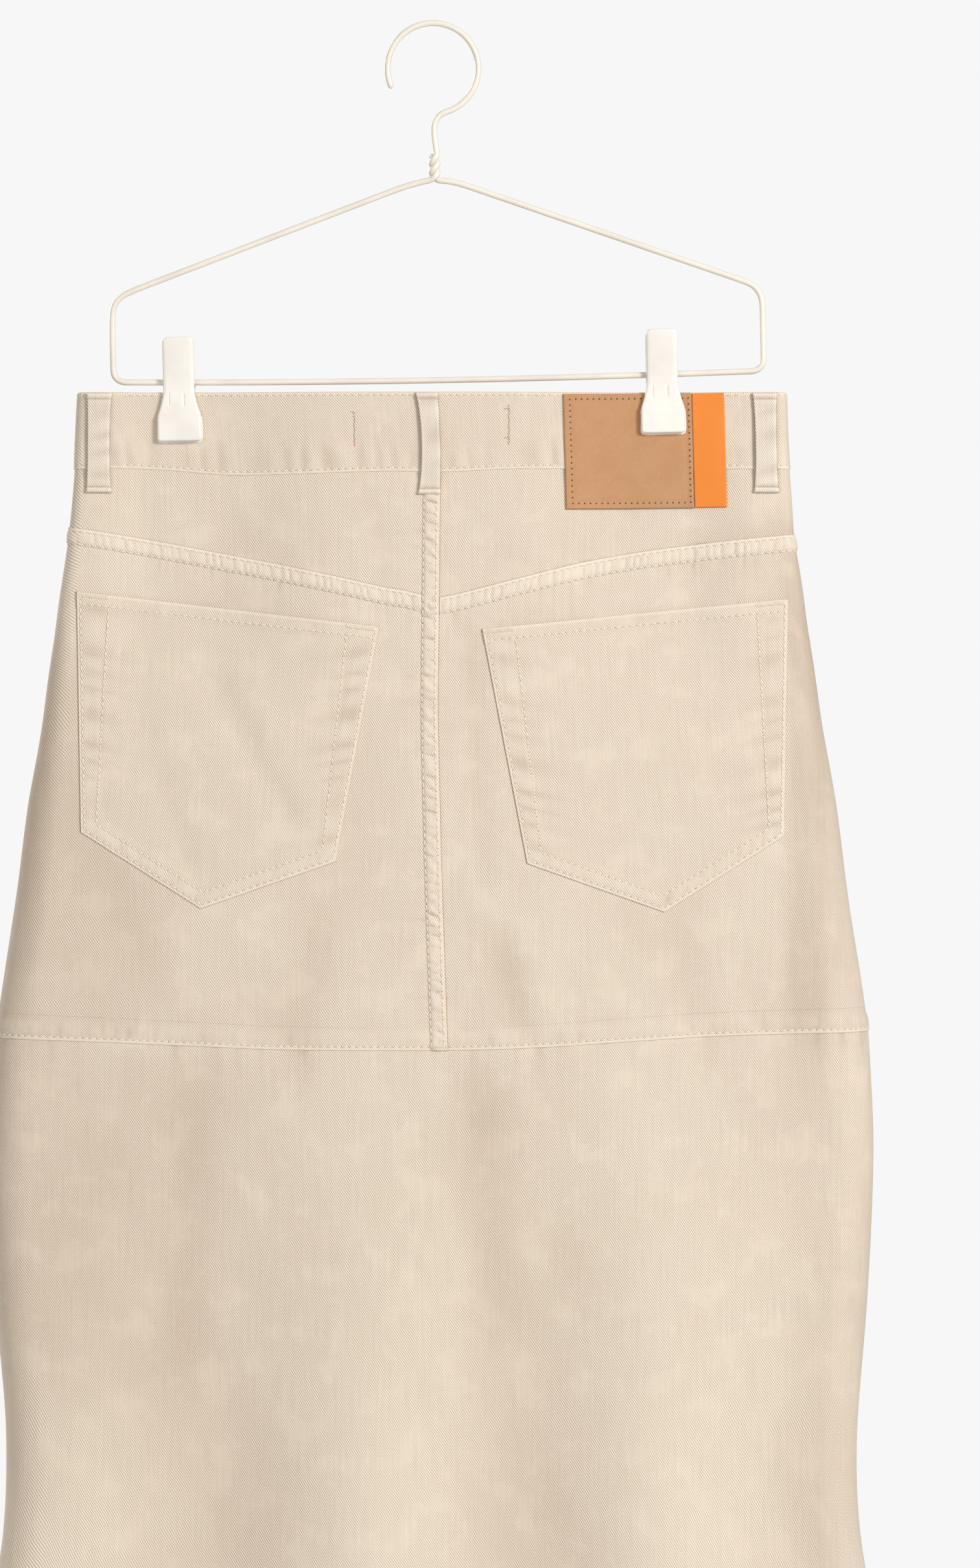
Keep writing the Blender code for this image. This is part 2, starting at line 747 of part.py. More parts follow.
def make_button():
    """The waist button: a domed metal button turned about its own axis."""
    bm = bmesh.new()
    verts = [bm.verts.new((ring.radius * BUTTON_RADIUS * MM, 0, ring.height * BUTTON_HEIGHT * MM))
             for ring in BUTTON_PROFILE]
    edges = [bm.edges.new(pair) for pair in zip(verts, verts[1:])]
    bmesh.ops.spin(bm, geom=verts + edges, cent=(0, 0, 0), axis=(0, 0, 1),
                   angle=2 * math.pi, steps=BUTTON_SIDES)
    bmesh.ops.remove_doubles(bm, verts=bm.verts, dist=0.00001)
    q, z = q_on_front(BUTTON_X, -BUTTON_DROP), -BUTTON_DROP
    foot = seat(q, z, WAISTBAND / 2 + SEAM_GAP)
    out = (seat(q, z, 2.0) - seat(q, z, 1.0)).normalized()
    turn = Vector((0, 0, 1)).rotation_difference(out).to_matrix().to_4x4()
    bmesh.ops.transform(bm, matrix=Matrix.Translation(foot * MM) @ turn, verts=bm.verts)
    mesh_object("waist_button", bm, "button_brass")


# ---- the hanger -------------------------------------------------------------------------
def tilted(point):
    """A point of the upright hanger, in mm, after it has tilted about the hook."""
    return Matrix.Rotation(-HANGER_TILT, 3, "Y") @ Vector(point)


def bar_z(x):
    return -BAR_BELOW_HOOK - BAR_BOW * (1 - (x / BAR_HALF_SPAN) ** 2)


def arc(centre, radius, start, end):
    """Points of an arc in the hanger's plane, angles in radians from +X towards +Z."""
    count = max(2, math.ceil(abs(end - start) / WIRE_CURVE_STEP))
    angles = (mix(start, end, k / count) for k in range(count + 1))
    return [(centre[0] + radius * math.cos(a), 0, centre[1] + radius * math.sin(a))
            for a in angles]


def wire(name, points):
    """A round wire with flat ends through points of the upright hanger."""
    curve = bpy.data.curves.new(name, "CURVE")
    curve.dimensions = "3D"
    curve.bevel_depth = WIRE * MM
    curve.bevel_resolution = 2
    curve.use_fill_caps = True
    spline = curve.splines.new("POLY")
    spline.points.add(len(points) - 1)
    for spot, point in zip(spline.points, points):
        spot.co = (*(tilted(point) * MM), 1)
    return add_object(name, curve, "coated_wire")


def make_neck(low):
    """The neck, where the arms and the hook meet. Returns its top's height."""
    rings = []
    for height, share in ((0, 0.7), (1, 1), (NECK_LENGTH - 1, 1), (NECK_LENGTH, 0.7)):
        turns = (2 * math.pi * k / NECK_SIDES for k in range(NECK_SIDES))
        rings.append([tilted((NECK_RADIUS * share * math.cos(a),
                              NECK_RADIUS * share * math.sin(a), low + height))
                      for a in turns])
    loft("hanger_neck", "coated_wire", rings)
    return low + NECK_LENGTH


def make_hanger():
    """One bent wire in life, split here into its bar, uprights, arms, neck and hook."""
    corner_x = BAR_HALF_SPAN - CORNER_RADIUS
    bar_xs = [mix(-corner_x, corner_x, k / BAR_STEPS) for k in range(BAR_STEPS + 1)]
    wire("hanger_bar", [(x, 0, bar_z(x)) for x in bar_xs])

    corner_z = bar_z(corner_x) + CORNER_RADIUS
    shoulder_z = corner_z + UPRIGHT_HEIGHT - CORNER_RADIUS
    turn = math.pi / 2 - ARM_SLOPE
    shoulder = (BAR_HALF_SPAN - SHOULDER_RADIUS, shoulder_z)
    arm_start = arc(shoulder, SHOULDER_RADIUS, 0, turn)[-1]
    neck_side = NECK_RADIUS + SEAM_GAP + WIRE * math.sin(ARM_SLOPE)
    neck_z = arm_start[2] + (arm_start[0] - neck_side) * math.tan(ARM_SLOPE)
    for side, sign in (("left", -1), ("right", 1)):
        def flip(points):
            return [(sign * x, y, z) for x, y, z in points]

        low = arc((corner_x, corner_z), CORNER_RADIUS, -math.pi / 2, 0)
        low[0] = (corner_x + SEAM_GAP, 0, low[0][2])
        wire(f"hanger_upright_{side}", flip(low + [(BAR_HALF_SPAN, 0, shoulder_z)]))
        high = arc(shoulder, SHOULDER_RADIUS, 0, turn)
        high[0] = (high[0][0], 0, high[0][2] + SEAM_GAP)
        wire(f"hanger_arm_{side}", flip(high + [(neck_side, 0, neck_z)]))

    neck_top = make_neck(neck_z - NECK_BELOW_ARMS)
    centre_z = WIRE - HOOK_RADIUS
    bend_turn = math.acos(HOOK_BEND / (HOOK_RADIUS + HOOK_BEND))
    hook = arc((0, centre_z), HOOK_RADIUS, HOOK_TIP, -bend_turn)
    bend_centre = (HOOK_BEND, centre_z - (HOOK_RADIUS + HOOK_BEND) * math.sin(bend_turn))
    hook += arc(bend_centre, HOOK_BEND, math.pi - bend_turn, math.pi)[1:]
    hook.append((0, 0, neck_top + SEAM_GAP))
    wire("hanger_hook", hook)


def jaw_ring(x, height, row, way, stack):
    """One level of a jaw, its outer corners rounded. way is -1 at the back, 1 in front."""
    stack = stack if row.height < JAW_BELOW_WIRE else 0.0
    inner, outer = row.inner + stack, row.outer + stack
    cut = min(JAW_CORNER, (outer - inner) * 0.4)
    wide = row.half_width
    mitre = cut * (1 - math.sqrt(0.5))
    right = ((wide - cut, outer), (wide - mitre, outer - mitre), (wide, outer - cut),
             (wide, inner))
    left = [(-dx, dy) for dx, dy in reversed(right)]
    return [tilted((x + dx, way * dy, height)) for dx, dy in (*left, (0, outer), *right)]


def make_spring(name, x, level):
    """A bent leaf between the two levers, standing on the wire."""
    path = [(-leg.away, leg.height) for leg in reversed(SPRING_LEG)]
    path += [(leg.away, leg.height) for leg in SPRING_LEG[1:]]
    outer, inner = [], []
    for k, (y, height) in enumerate(path):
        before, after = path[max(k - 1, 0)], path[min(k + 1, len(path) - 1)]
        along = Vector((after[0] - before[0], after[1] - before[1])).normalized()
        for grid, way in ((outer, 0.5), (inner, -0.5)):
            away_y = y + along.y * way * SPRING_THICKNESS
            away_z = level + height - along.x * way * SPRING_THICKNESS
            grid.append([tilted((x + wide, away_y, away_z))
                         for wide in (-SPRING_HALF_WIDTH, SPRING_HALF_WIDTH)])
    wall(name, "spring_steel", outer, inner)


def make_clips():
    """Two clips, each with a jaw on the skirt's back, one on its front and a spring."""
    for side, x in CLIP_PLACES.items():
        level = bar_z(x)
        for face, way in (("back", -1), ("front", 1)):
            over_patch = side == "right" and face == "back"
            stack = CLIP_STACK_FOR_PATCH if over_patch else 0.0
            rings = [jaw_ring(x, level + row.height, row, way, stack) for row in JAW_ROWS]
            loft(f"clip_{side}_{face}_jaw", "clip_plastic", rings)
        make_spring(f"clip_{side}_spring", x, level)


def clear_scene():
    for thing in list(bpy.data.objects):
        bpy.data.objects.remove(thing, do_unlink=True)
    collection = bpy.data.collections.new(COLLECTION)
    bpy.context.scene.collection.children.link(collection)


def main():
    clear_scene()
    make_waistband()
    make_back()
    make_front()
    make_lower()
    make_pockets()
    make_belt_loops()
    make_patches()
    make_fly()
    make_button()
    make_hanger()
    make_clips()


main()
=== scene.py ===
"""The looks of the ecru denim skirt on its clip hanger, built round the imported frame.

Sizes are in millimetres, and MM turns them into the scene's metres. A place on the cloth
is (q, z), as in the part's source. z is the height above the waist's top edge. q runs
round the body: 0 at the centre back, 1 where the side starts to fold, 2 where the fold
ends on the front, 3 at the centre front, with a minus sign on the left side. Each sewn
piece is a fine wall on the same body, its weave laid out from the flat cut.
"""
import math
from collections import namedtuple

import bpy
import numpy as np
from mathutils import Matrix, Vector


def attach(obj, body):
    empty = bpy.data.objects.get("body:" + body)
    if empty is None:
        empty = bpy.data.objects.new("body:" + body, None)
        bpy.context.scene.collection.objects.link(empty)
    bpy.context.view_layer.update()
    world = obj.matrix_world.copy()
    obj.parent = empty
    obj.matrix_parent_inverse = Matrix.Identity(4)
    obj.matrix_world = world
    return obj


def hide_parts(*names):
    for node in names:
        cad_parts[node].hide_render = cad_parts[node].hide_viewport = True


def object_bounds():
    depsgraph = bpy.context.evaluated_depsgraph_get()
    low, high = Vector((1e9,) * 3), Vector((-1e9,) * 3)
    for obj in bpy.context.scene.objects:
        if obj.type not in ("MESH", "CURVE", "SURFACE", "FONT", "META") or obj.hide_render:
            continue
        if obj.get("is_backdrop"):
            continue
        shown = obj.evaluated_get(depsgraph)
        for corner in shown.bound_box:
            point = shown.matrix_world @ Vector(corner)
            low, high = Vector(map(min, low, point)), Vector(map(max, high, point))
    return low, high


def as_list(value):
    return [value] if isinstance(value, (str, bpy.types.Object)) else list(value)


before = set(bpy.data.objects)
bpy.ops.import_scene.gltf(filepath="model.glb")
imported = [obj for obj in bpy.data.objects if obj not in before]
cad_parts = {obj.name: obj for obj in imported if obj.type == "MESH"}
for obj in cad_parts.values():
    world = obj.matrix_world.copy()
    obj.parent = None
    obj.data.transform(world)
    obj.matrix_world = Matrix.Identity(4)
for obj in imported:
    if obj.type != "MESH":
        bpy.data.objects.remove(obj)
CAD_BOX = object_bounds()

MM = 0.001
SIGNS = {"left": -1, "right": 1}

# ---- the body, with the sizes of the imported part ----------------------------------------
WAIST_BELOW_HOOK = 190.0
SKIRT_LENGTH = 860.0
HEM_LIFT_AT_SIDES = 12.0
SEAM_GAP = 0.3
HALF_DENIM = 0.6
HALF_BAND = 1.2
WAISTBAND_WIDTH = 40.0
FRONT_WAIST_DIP = 14.0
EDGE_ROW = 1.8
FELL_WIDTH = 8.6
FELL_RISE = 0.65
FELL_STEADY = 0.6
FELL_CREASES = 0.85
GATHER_DEPTH = 0.85
THIGH_RISE = 0.7
HEM_TURN = 12.0
HEM_ROW = 10.0
HEM_RISE = 0.5
FLY_ROWS = (38.0, 32.0)
FLY_TURN_Z = -168.0
FLY_FOOT = 28.0

Section = namedtuple("Section", "drop half_width fold_radius half_depth")
SECTIONS = (
    Section(0, 182.7, 4.5, 7.0),
    Section(40, 184.6, 5.0, 8.5),
    Section(76, 187.9, 6.5, 11.0),
    Section(107, 192.4, 9.0, 13.5),
    Section(141, 197.7, 12.0, 16.0),
    Section(173, 202.1, 15.0, 18.5),
    Section(214, 209.2, 18.0, 21.0),
    Section(266, 215.7, 20.0, 23.5),
    Section(314, 223.1, 21.0, 25.0),
    Section(338, 225.9, 21.0, 25.5),
    Section(400, 228.0, 21.0, 26.5),
    Section(470, 225.0, 21.0, 27.5),
    Section(540, 219.5, 22.0, 29.0),
    Section(600, 222.0, 24.0, 32.0),
    Section(660, 236.0, 28.0, 37.0),
    Section(730, 262.0, 33.0, 43.0),
    Section(800, 295.0, 38.0, 49.0),
    Section(870, 329.0, 42.0, 54.0),
)
Drop = namedtuple("Drop", "x drop")
WAIST_SEAM = (
    Drop(-185, 40.0),
    Drop(-160, 39.6),
    Drop(-137, 40.5),
    Drop(-105, 43.0),
    Drop(-72, 42.7),
    Drop(-22, 41.3),
    Drop(6, 41.7),
    Drop(45, 40.1),
    Drop(185, 40.0),
)
THIGH_SEAM = (
    Drop(-228, 333.5),
    Drop(-165, 335.8),
    Drop(-120, 337.7),
    Drop(-81, 339.3),
    Drop(-29, 339.7),
    Drop(25, 339.4),
    Drop(64, 337.8),
    Drop(102, 335.2),
    Drop(141, 332.8),
    Drop(180, 331.5),
    Drop(228, 330.5),
)
YokeDrop = namedtuple("YokeDrop", "distance left right")
YOKE_SEAM = (
    YokeDrop(0, 106.6, 107.2),
    YokeDrop(13, 103.2, 104.7),
    YokeDrop(24, 101.3, 101.9),
    YokeDrop(45, 96.5, 96.4),
    YokeDrop(78, 89.4, 88.1),
    YokeDrop(111, 83.0, 82.2),
    YokeDrop(145, 76.6, 77.8),
    YokeDrop(178, 71.2, 74.4),
    YokeDrop(200, 68.0, 72.6),
)
Fold = namedtuple("Fold", "drop x")
CENTRE_BACK_FOLD = (
    Fold(38, 4.6),
    Fold(107, 4.0),
    Fold(165, 3.5),
    Fold(205, 4.3),
    Fold(255, 5.6),
    Fold(287, 6.7),
    Fold(342, 8.6),
)
CENTRE_FRONT_FOLD = -4.3
AT_FOLD = 0.02
BESIDE_FLY = 4.0
Flute = namedtuple("Flute", "place start reach")
FLUTES = (
    Flute(-0.92, 352, -15.0),
    Flute(-0.76, 356, 16.0),
    Flute(-0.59, 350, -10.0),
    Flute(-0.41, 356, 12.0),
    Flute(-0.243, 344, -18.0),
    Flute(-0.077, 350, 17.0),
    Flute(0.10, 344, -20.0),
    Flute(0.253, 348, 18.0),
    Flute(0.41, 352, -11.0),
    Flute(0.58, 356, 10.0),
    Flute(0.75, 350, -17.0),
    Flute(0.92, 354, 15.0),
)
FLUTE_SPREAD = 0.085

HANGER_TILT = math.radians(1.02)
BAR_BELOW_HOOK = 181.7
CLIP_PLACES = {"left": -134.3, "right": 115.8}
GRIP_DEPTH = HALF_BAND + SEAM_GAP / 2
GRIP_HALF_WIDTH = 12.5
GRIP_REACH_IN = 80.0
GRIP_REACH_OUT = 46.0
GRIP_DROP = 32.0
GRIP_FADE = 185.0


def read(rows, column, at):
    """A smooth curve through a table's column against its first one, flat beyond its ends."""
    places = np.array([row[0] for row in rows], float)
    values = np.array([getattr(row, column) for row in rows], float)
    last = len(rows) - 1
    low = np.maximum(np.arange(last + 1) - 1, 0)
    high = np.minimum(np.arange(last + 1) + 1, last)
    slopes = (values[high] - values[low]) / (places[high] - places[low])
    k = np.clip(np.searchsorted(places, at, side="right") - 1, 0, last - 1)
    span = places[k + 1] - places[k]
    t = np.clip((at - places[k]) / span, 0, 1)
    bend = t * t * (3 - 2 * t)
    rise = span * t * (1 - t) * (slopes[k] * (1 - t) - slopes[k + 1] * t)
    return values[k] + (values[k + 1] - values[k]) * bend + rise


def ease(t):
    """0 below 0 and 1 above 1, with a soft start and end."""
    t = np.clip(t, 0.0, 1.0)
    return t * t * (3 - 2 * t)


def mix(a, b, t):
    """a where t is 0, b where it is 1, and in proportion between."""
    return a + (b - a) * t


def bell(distance, width):
    """1 at no distance, fading to 0 beyond about twice the width."""
    return np.exp(-(distance / width) ** 2)


def fading(distance, reach):
    """1 up to a distance of 0, then dying away with it."""
    return np.exp(-np.maximum(distance, 0) / reach)


def arch(share):
    """0 at both ends of a span and 1 half-way, as a sine."""
    return np.sin(math.pi * np.clip(share, 0, 1))


def unit(vectors):
    return vectors / np.linalg.norm(vectors, axis=-1, keepdims=True)


def turned(u, v, angle):
    """Flat places turned by an angle in radians."""
    return np.stack([u * math.cos(angle) - v * math.sin(angle),
                     u * math.sin(angle) + v * math.cos(angle)], -1)


def around(side, up, sides):
    """Unit circles through the directions side and up, one after the other."""
    turn = 2 * math.pi * np.arange(sides)[:, None] / sides
    return side[..., None, :] * np.cos(turn) + up[..., None, :] * np.sin(turn)


def ring_quads(rings, sides):
    """The quads between rings of points that follow one another."""
    k = np.arange(sides)
    after = (k + 1) % sides
    return np.concatenate([np.stack([low + k, low + sides + k, low + sides + after, low + after],
                                    -1) for low in range(0, (rings - 1) * sides, sides)])


def section(z):
    """Half the flat face, the fold's radius and half the depth at a height."""
    half_width, fold, depth = (read(SECTIONS, key, -z) for key in Section._fields[1:])
    return half_width - fold, fold, depth


def grip(x, z):
    """1 where a clip presses the waist flat, fading to 0 round it."""
    fade = 1 - ease((-z - GRIP_DROP) / (GRIP_FADE - GRIP_DROP))
    near = np.zeros(np.shape(x))
    for place in CLIP_PLACES.values():
        clip = place + BAR_BELOW_HOOK * math.tan(HANGER_TILT)
        reach = np.where(np.abs(x) < abs(clip), GRIP_REACH_IN, GRIP_REACH_OUT)
        away = (np.abs(x - clip) - GRIP_HALF_WIDTH) / (reach - GRIP_HALF_WIDTH)
        near = np.maximum(near, 1 - ease(away))
    return fade * near


def girth(q, z):
    """Distance round the body from the centre back, and half the girth."""
    face, fold, _ = section(z)
    side = math.pi * fold
    a = np.abs(q)
    length = np.minimum(a, 1) * face + np.clip(a - 1, 0, 1) * side + np.maximum(a - 2, 0) * face
    return np.copysign(length, q), 2 * face + side


def flute(q, z):
    """How far the soft flutes move the cloth out at a place."""
    length, half = girth(q, z)
    total = np.zeros(np.shape(length))
    for row in FLUTES:
        grown = np.maximum(-z - row.start, 0) / (SKIRT_LENGTH - row.start)
        away = (length / half - row.place + 1) % 2 - 1
        total += row.reach * grown ** 0.95 * bell(away, FLUTE_SPREAD)
    return total


def middle(q, z):
    """Points of the cloth's middle surface at (q, z)."""
    q, z = np.broadcast_arrays(np.asarray(q, float), np.asarray(z, float))
    face, fold, depth = section(z)
    a = np.abs(q)
    side = np.where(q < 0, -1.0, 1.0)
    turn = math.pi * np.clip(a - 1, 0, 1)
    on_side = (a > 1) & (a < 2)
    share = np.where(a <= 1, a, 3 - a)
    way = np.where(a <= 1, -1.0, 1.0)
    bulge = fold + (depth - fold) * (1 - np.minimum(share * share, 1)) ** 2
    flat_y = way * mix(bulge, GRIP_DEPTH, grip(side * share * face, z))
    out_x = np.where(on_side, np.sin(turn), 0.0)
    out_y = np.where(on_side, -np.cos(turn), way)
    x = np.where(on_side, face + fold * out_x, share * face)
    y = np.where(on_side, fold * out_y, flat_y)
    move = flute(q, z)
    return np.stack([side * (x + out_x * move), y + out_y * move, z], -1)


def square_out(q, z):
    """The direction square to the cloth, outwards."""
    across = middle(q + 0.01, z) - middle(q - 0.01, z)
    down = middle(q, z - 0.5) - middle(q, z + 0.5)
    return unit(np.cross(down, across))


def seat(q, z, out):
    """Points a distance out from the middle surface, square to it, in world mm."""
    return middle(q, z) + square_out(q, z) * np.asarray(out)[..., None] - [0, 0, WAIST_BELOW_HOOK]


def q_on_back(x, z):
    """q of a place on the back, or round the first half of a side's fold."""
    face, fold, _ = section(z)
    a = np.abs(x)
    beyond = 1 + np.arcsin(np.clip((a - face) / fold, 0, 1)) / math.pi
    return np.copysign(np.where(a <= face, a / face, beyond), x)


def q_on_front(x, z):
    """q of a place on the front's flat face."""
    return np.copysign(3 - np.abs(x) / section(z)[0], x)


def settled(q_at, height, z, rounds):
    """(q, x, z) of places along a line whose height depends on where they come to lie."""
    for _ in range(rounds):
        q = q_at(z)
        x = middle(q, z)[..., 0]
        z = height(q, x)
    return q, x, z


# ---- seams, as heights z at (q, x), which the same code can then follow ----------------
def waist_edge(q, x):
    return -FRONT_WAIST_DIP * ease(np.abs(q) - 2)


def waist_seam(q, x):
    front = waist_edge(q, x) - WAISTBAND_WIDTH
    return np.where(np.abs(q) > 2, front, -read(WAIST_SEAM, "drop", x))


def yoke_seam(q, x):
    a = np.abs(x)
    return -np.where(x < 0, read(YOKE_SEAM, "left", a), read(YOKE_SEAM, "right", a))


def thigh_seam(q, x):
    reach = section(-THIGH_SEAM[0].drop)[0]
    left, right = (read(THIGH_SEAM, "drop", end) for end in (-reach, reach))
    return -np.where(np.abs(q) <= 2, read(THIGH_SEAM, "drop", x),
                     mix(left, right, (x / reach + 1) / 2))


def hem(q, x):
    return -SKIRT_LENGTH + HEM_LIFT_AT_SIDES * (x / SECTIONS[-1].half_width) ** 2


def centre_fold(z):
    """x of the felled centre back seam's folded edge."""
    return read(CENTRE_BACK_FOLD, "x", -z)


# ---- meshes -----------------------------------------------------------------------------
MATERIALS = {}
Cut = namedtuple("Cut", "piece width length area")
CUTS = {}
TRIMS = {}


def add_piece(name, points, faces, look, replaced=(), uv=None, sharp=50):
    """A mesh piece from points in mm, riding on the body, with its finish."""
    mesh = bpy.data.meshes.new(name)
    mesh.from_pydata((np.asarray(points) * MM).tolist(), [], [list(map(int, f)) for f in faces])
    if uv is not None:
        corner = np.empty(len(mesh.loops), int)
        mesh.loops.foreach_get("vertex_index", corner)
        layer = mesh.uv_layers.new(name="cloth")
        layer.data.foreach_set("uv", (np.asarray(uv) * MM)[corner].ravel())
    mesh.shade_smooth()
    mesh.set_sharp_from_angle(angle=math.radians(sharp))
    piece = bpy.data.objects.new(name, mesh)
    bpy.context.scene.collection.objects.link(piece)
    material, slot = MATERIALS[look]
    mesh.materials.append(material)
    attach(piece, "root")
    if replaced:
        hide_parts(*replaced)
    return piece


def shell(name, outer, inner, look, replaced=(), uv=None, sharp=50, light_and_wear=None):
    """A closed wall between two grids of points.

    The mark on its outer face is painted light and shade, partly worn cloth: over 0 it is
    painted pale (painted highlights on folds and humps, and folds worn pale), under 0 it is
    painted shade in creases, gaps and along shadowed edges.
    """
    rows, columns = outer.shape[:2]
    index = np.arange(rows * columns).reshape(rows, columns)
    quads = np.stack([index[:-1, :-1], index[1:, :-1], index[1:, 1:], index[:-1, 1:]], -1)
    quads = quads.reshape(-1, 4)
    ring = np.concatenate([index[0, :], index[1:, -1], index[-1, -2::-1], index[-2:0:-1, 0]])
    after = np.roll(ring, -1)
    count = rows * columns
    rim = np.stack([ring, after, after + count, ring + count], -1)
    faces = np.concatenate([quads, quads[:, ::-1] + count, rim])
    i, j = rows // 2, columns // 2
    across, down = outer[i, j] - outer[i, j - 1], outer[i, j] - outer[i - 1, j]
    if np.dot(np.cross(down, across), outer[i, j] - inner[i, j]) < 0:
        faces = faces[:, ::-1]
    points = np.concatenate([outer.reshape(-1, 3), inner.reshape(-1, 3)])
    both = None if uv is None else np.concatenate([uv.reshape(-1, 2)] * 2)
    piece = add_piece(name, points, faces, look, replaced, both, sharp)
    if light_and_wear is not None:
        layer = piece.data.attributes.new("light_and_wear", "FLOAT", "POINT")
        both = np.concatenate([np.broadcast_to(light_and_wear, (rows, columns)).ravel(), np.zeros(count)])
        layer.data.foreach_set("value", both)
    if uv is not None:
        one, two = uv[1:, 1:] - uv[:-1, :-1], uv[1:, :-1] - uv[:-1, 1:]
        area = np.abs(one[..., 0] * two[..., 1] - one[..., 1] * two[..., 0]).sum() / 2
        width, length = (np.linalg.norm(np.diff(uv, axis=axis), axis=-1).sum(axis).max()
                         for axis in (1, 0))
        CUTS[name] = Cut(piece, width * MM, length * MM, area * MM * MM)
    return piece


def steps(start, end, step):
    """Even places from start to end, about a step apart."""
    return np.linspace(start, end, max(1, round(abs(end - start) / step)) + 1)


def fine_ends(near, length, start, step):
    """Places along a length: close ones near both ends, and even ones between."""
    return np.concatenate([near, steps(start, length - start, step), length - near[::-1]])


# ---- relief: creases and puckers --------------------------------------------------------
# A train of humps along a seam: the mean way from one to the next, and the seed of how
# uneven it runs.
Train = namedtuple("Train", "pitch seed")
YOKE_TRAINS = {"left": Train(5.2, 0.4), "right": Train(5.2, 2.9)}
UNDER_YOKE = Train(6.2, 0.4)
CENTRE_TRAIN = Train(6.4, 1.3)
ROPE_TRAIN = Train(8.4, 1.3)
BESIDE_CENTRE = Train(8.0, 1.3)
THIGH_TRAIN = Train(9.5, 4.4)
OVER_THIGH = Train(13.0, 5.1)
UNDER_THIGH = Train(14.0, 5.6)
HEM_TRAIN = Train(8.0, 6.3)
BAND_TRAIN = Train(12.5, 3.3)
BAND_EDGE_TRAIN = Train(4.1, 0.7)
FLY_TRAIN = Train(7.5, 3.7)
FACING_TRAIN = Train(9, 2.2)
# The trains that the felled bands' weave follows.
YOKE_WEAVE = {"left": Train(6.2, 0.4), "right": Train(6.2, 2.9)}
CENTRE_WEAVE = Train(8.0, 1.3)


def phase_and_depth(along, train):
    """The uneven phase and strength of a train at places along its seam."""
    turn = along / train.pitch
    seed = train.seed
    phase = turn + 0.30 * np.sin(1.7 * turn + seed) + 0.22 * np.sin(0.61 * turn + 2.3 * seed)
    return phase, 0.6 + 0.4 * np.sin(0.93 * turn + 1.7 * seed) * np.sin(0.37 * turn + seed)


def gather(along, train, steady=0.0):
    """Humps with narrow creases between them: near 1 on a hump, low in a crease."""
    phase, depth = phase_and_depth(along, train)
    depth = mix(depth, GATHER_DEPTH, steady)
    return 1 - depth * (1 - np.abs(np.sin(math.pi * phase)) ** 0.5)


def swell(along, train):
    """Soft humps and equal troughs, from about 1 to -1."""
    phase, depth = phase_and_depth(along, train)
    return depth * np.sin(2 * math.pi * phase)


def rounded(distance, radius):
    """The height of a rounded edge, from 0 at the edge to 1 at its radius."""
    t = np.clip(distance / radius, 0, 1)
    return np.sqrt(1 - (1 - t) ** 2)


# Creases on the back: soft ridges (depth over 0) and troughs along a line. The panels' painted
# light and shade follow them: pale on the ridges, brown in the troughs.
Crease = namedtuple("Crease", "x z run_x run_z width depth")
CREASES = (
    Crease(-115, -150, 37, -62, 9, -1.1),
    Crease(-92, -160, 30, -58, 10, 0.8),
    Crease(-150, -165, 22, -70, 8, -0.6),
    Crease(40, -300, 8, -30, 9, -0.9),
    Crease(60, -285, -10, -45, 12, 0.6),
    Crease(196, -120, 14, -170, 6, -0.55),
    Crease(-196, -130, -14, -160, 7, -0.5),
    Crease(20, -135, 6, -110, 7, -0.5),
    Crease(130, -290, 10, -40, 12, -0.6),
    Crease(-60, -285, -8, -45, 12, -0.5),
    Crease(-30, -52, 4, -40, 8, -0.4),
    Crease(95, -68, -10, -20, 9, -0.35),
    Crease(138, -84, 50, 12, 13, -0.8),
    Crease(26, -378, 5, -90, 15, -1.1),
    Crease(-122, -368, -6, -120, 14, -0.9),
    Crease(100, -372, 10, -90, 24, 0.5),
)


def creases(x, z):
    """Broad folds and the slight unevenness of hung cloth."""
    total = np.zeros(np.broadcast(x, z).shape)
    for row in CREASES:
        length = math.hypot(row.run_x, row.run_z)
        ux, uz = row.run_x / length, row.run_z / length
        along = ((x - row.x) * ux + (z - row.z) * uz) / length
        beyond = np.maximum(np.abs(along - 0.5) - 0.5, 0) * length
        across = (x - row.x) * uz - (z - row.z) * ux
        total += row.depth * bell(across, row.width) * bell(beyond, 2 * row.width)
    total += 0.28 * np.sin(x / 23 + 0.7 * np.sin(z / 41)) * np.sin(z / 37 + 1.3)
    total += 0.12 * np.sin(x / 9.1 + z / 31 + 2) * np.sin(z / 19 + x / 27)
    return total * ease((-z - 45) / 40)


def groove(distance, depth=0.13, width=0.6):
    """The dent that a topstitch row pulls into the cloth."""
    return -depth * bell(distance, width)


def fell(t, s, train, slant):
    """Height of a felled band: t across from its folded edge, s along it."""
    fold = rounded(t, 0.9)
    fall = 1 - ease((t - FELL_WIDTH + 1.0) / 2.6)
    window = arch((t - EDGE_ROW) / (FELL_WIDTH - EDGE_ROW)) ** 0.7
    humps = FELL_CREASES * window * (gather(s + slant * t, train, FELL_STEADY) - 0.55)
    rows = groove(t - EDGE_ROW) + groove(t - FELL_WIDTH, 0.18)
    edge_wave = 0.18 * (gather(s, train) - 0.6) * bell(t, 1.4)
    return (FELL_RISE * fold + humps + edge_wave + rows) * fall - 0.2 * (1 - fall)


def fell_light_and_wear(t, s, train, slant):
    """Painted highlights on a felled band's fold (partly worn pale) and humps, painted shade in its
    creases, and a painted shadow line at its folded edge.
    """
    fall = 1 - ease((t - FELL_WIDTH + 0.2) / 1.6)
    window = arch((t - EDGE_ROW + 0.6) / (FELL_WIDTH - EDGE_ROW)) ** 0.5
    crease_shade = np.minimum(gather(s + slant * t, train, FELL_STEADY) - 0.72, 0)
    return (bell(t - 1.0, 0.7) + window * (0.5 + 1.9 * crease_shade) - 1.3 * bell(t, 0.25)) * fall


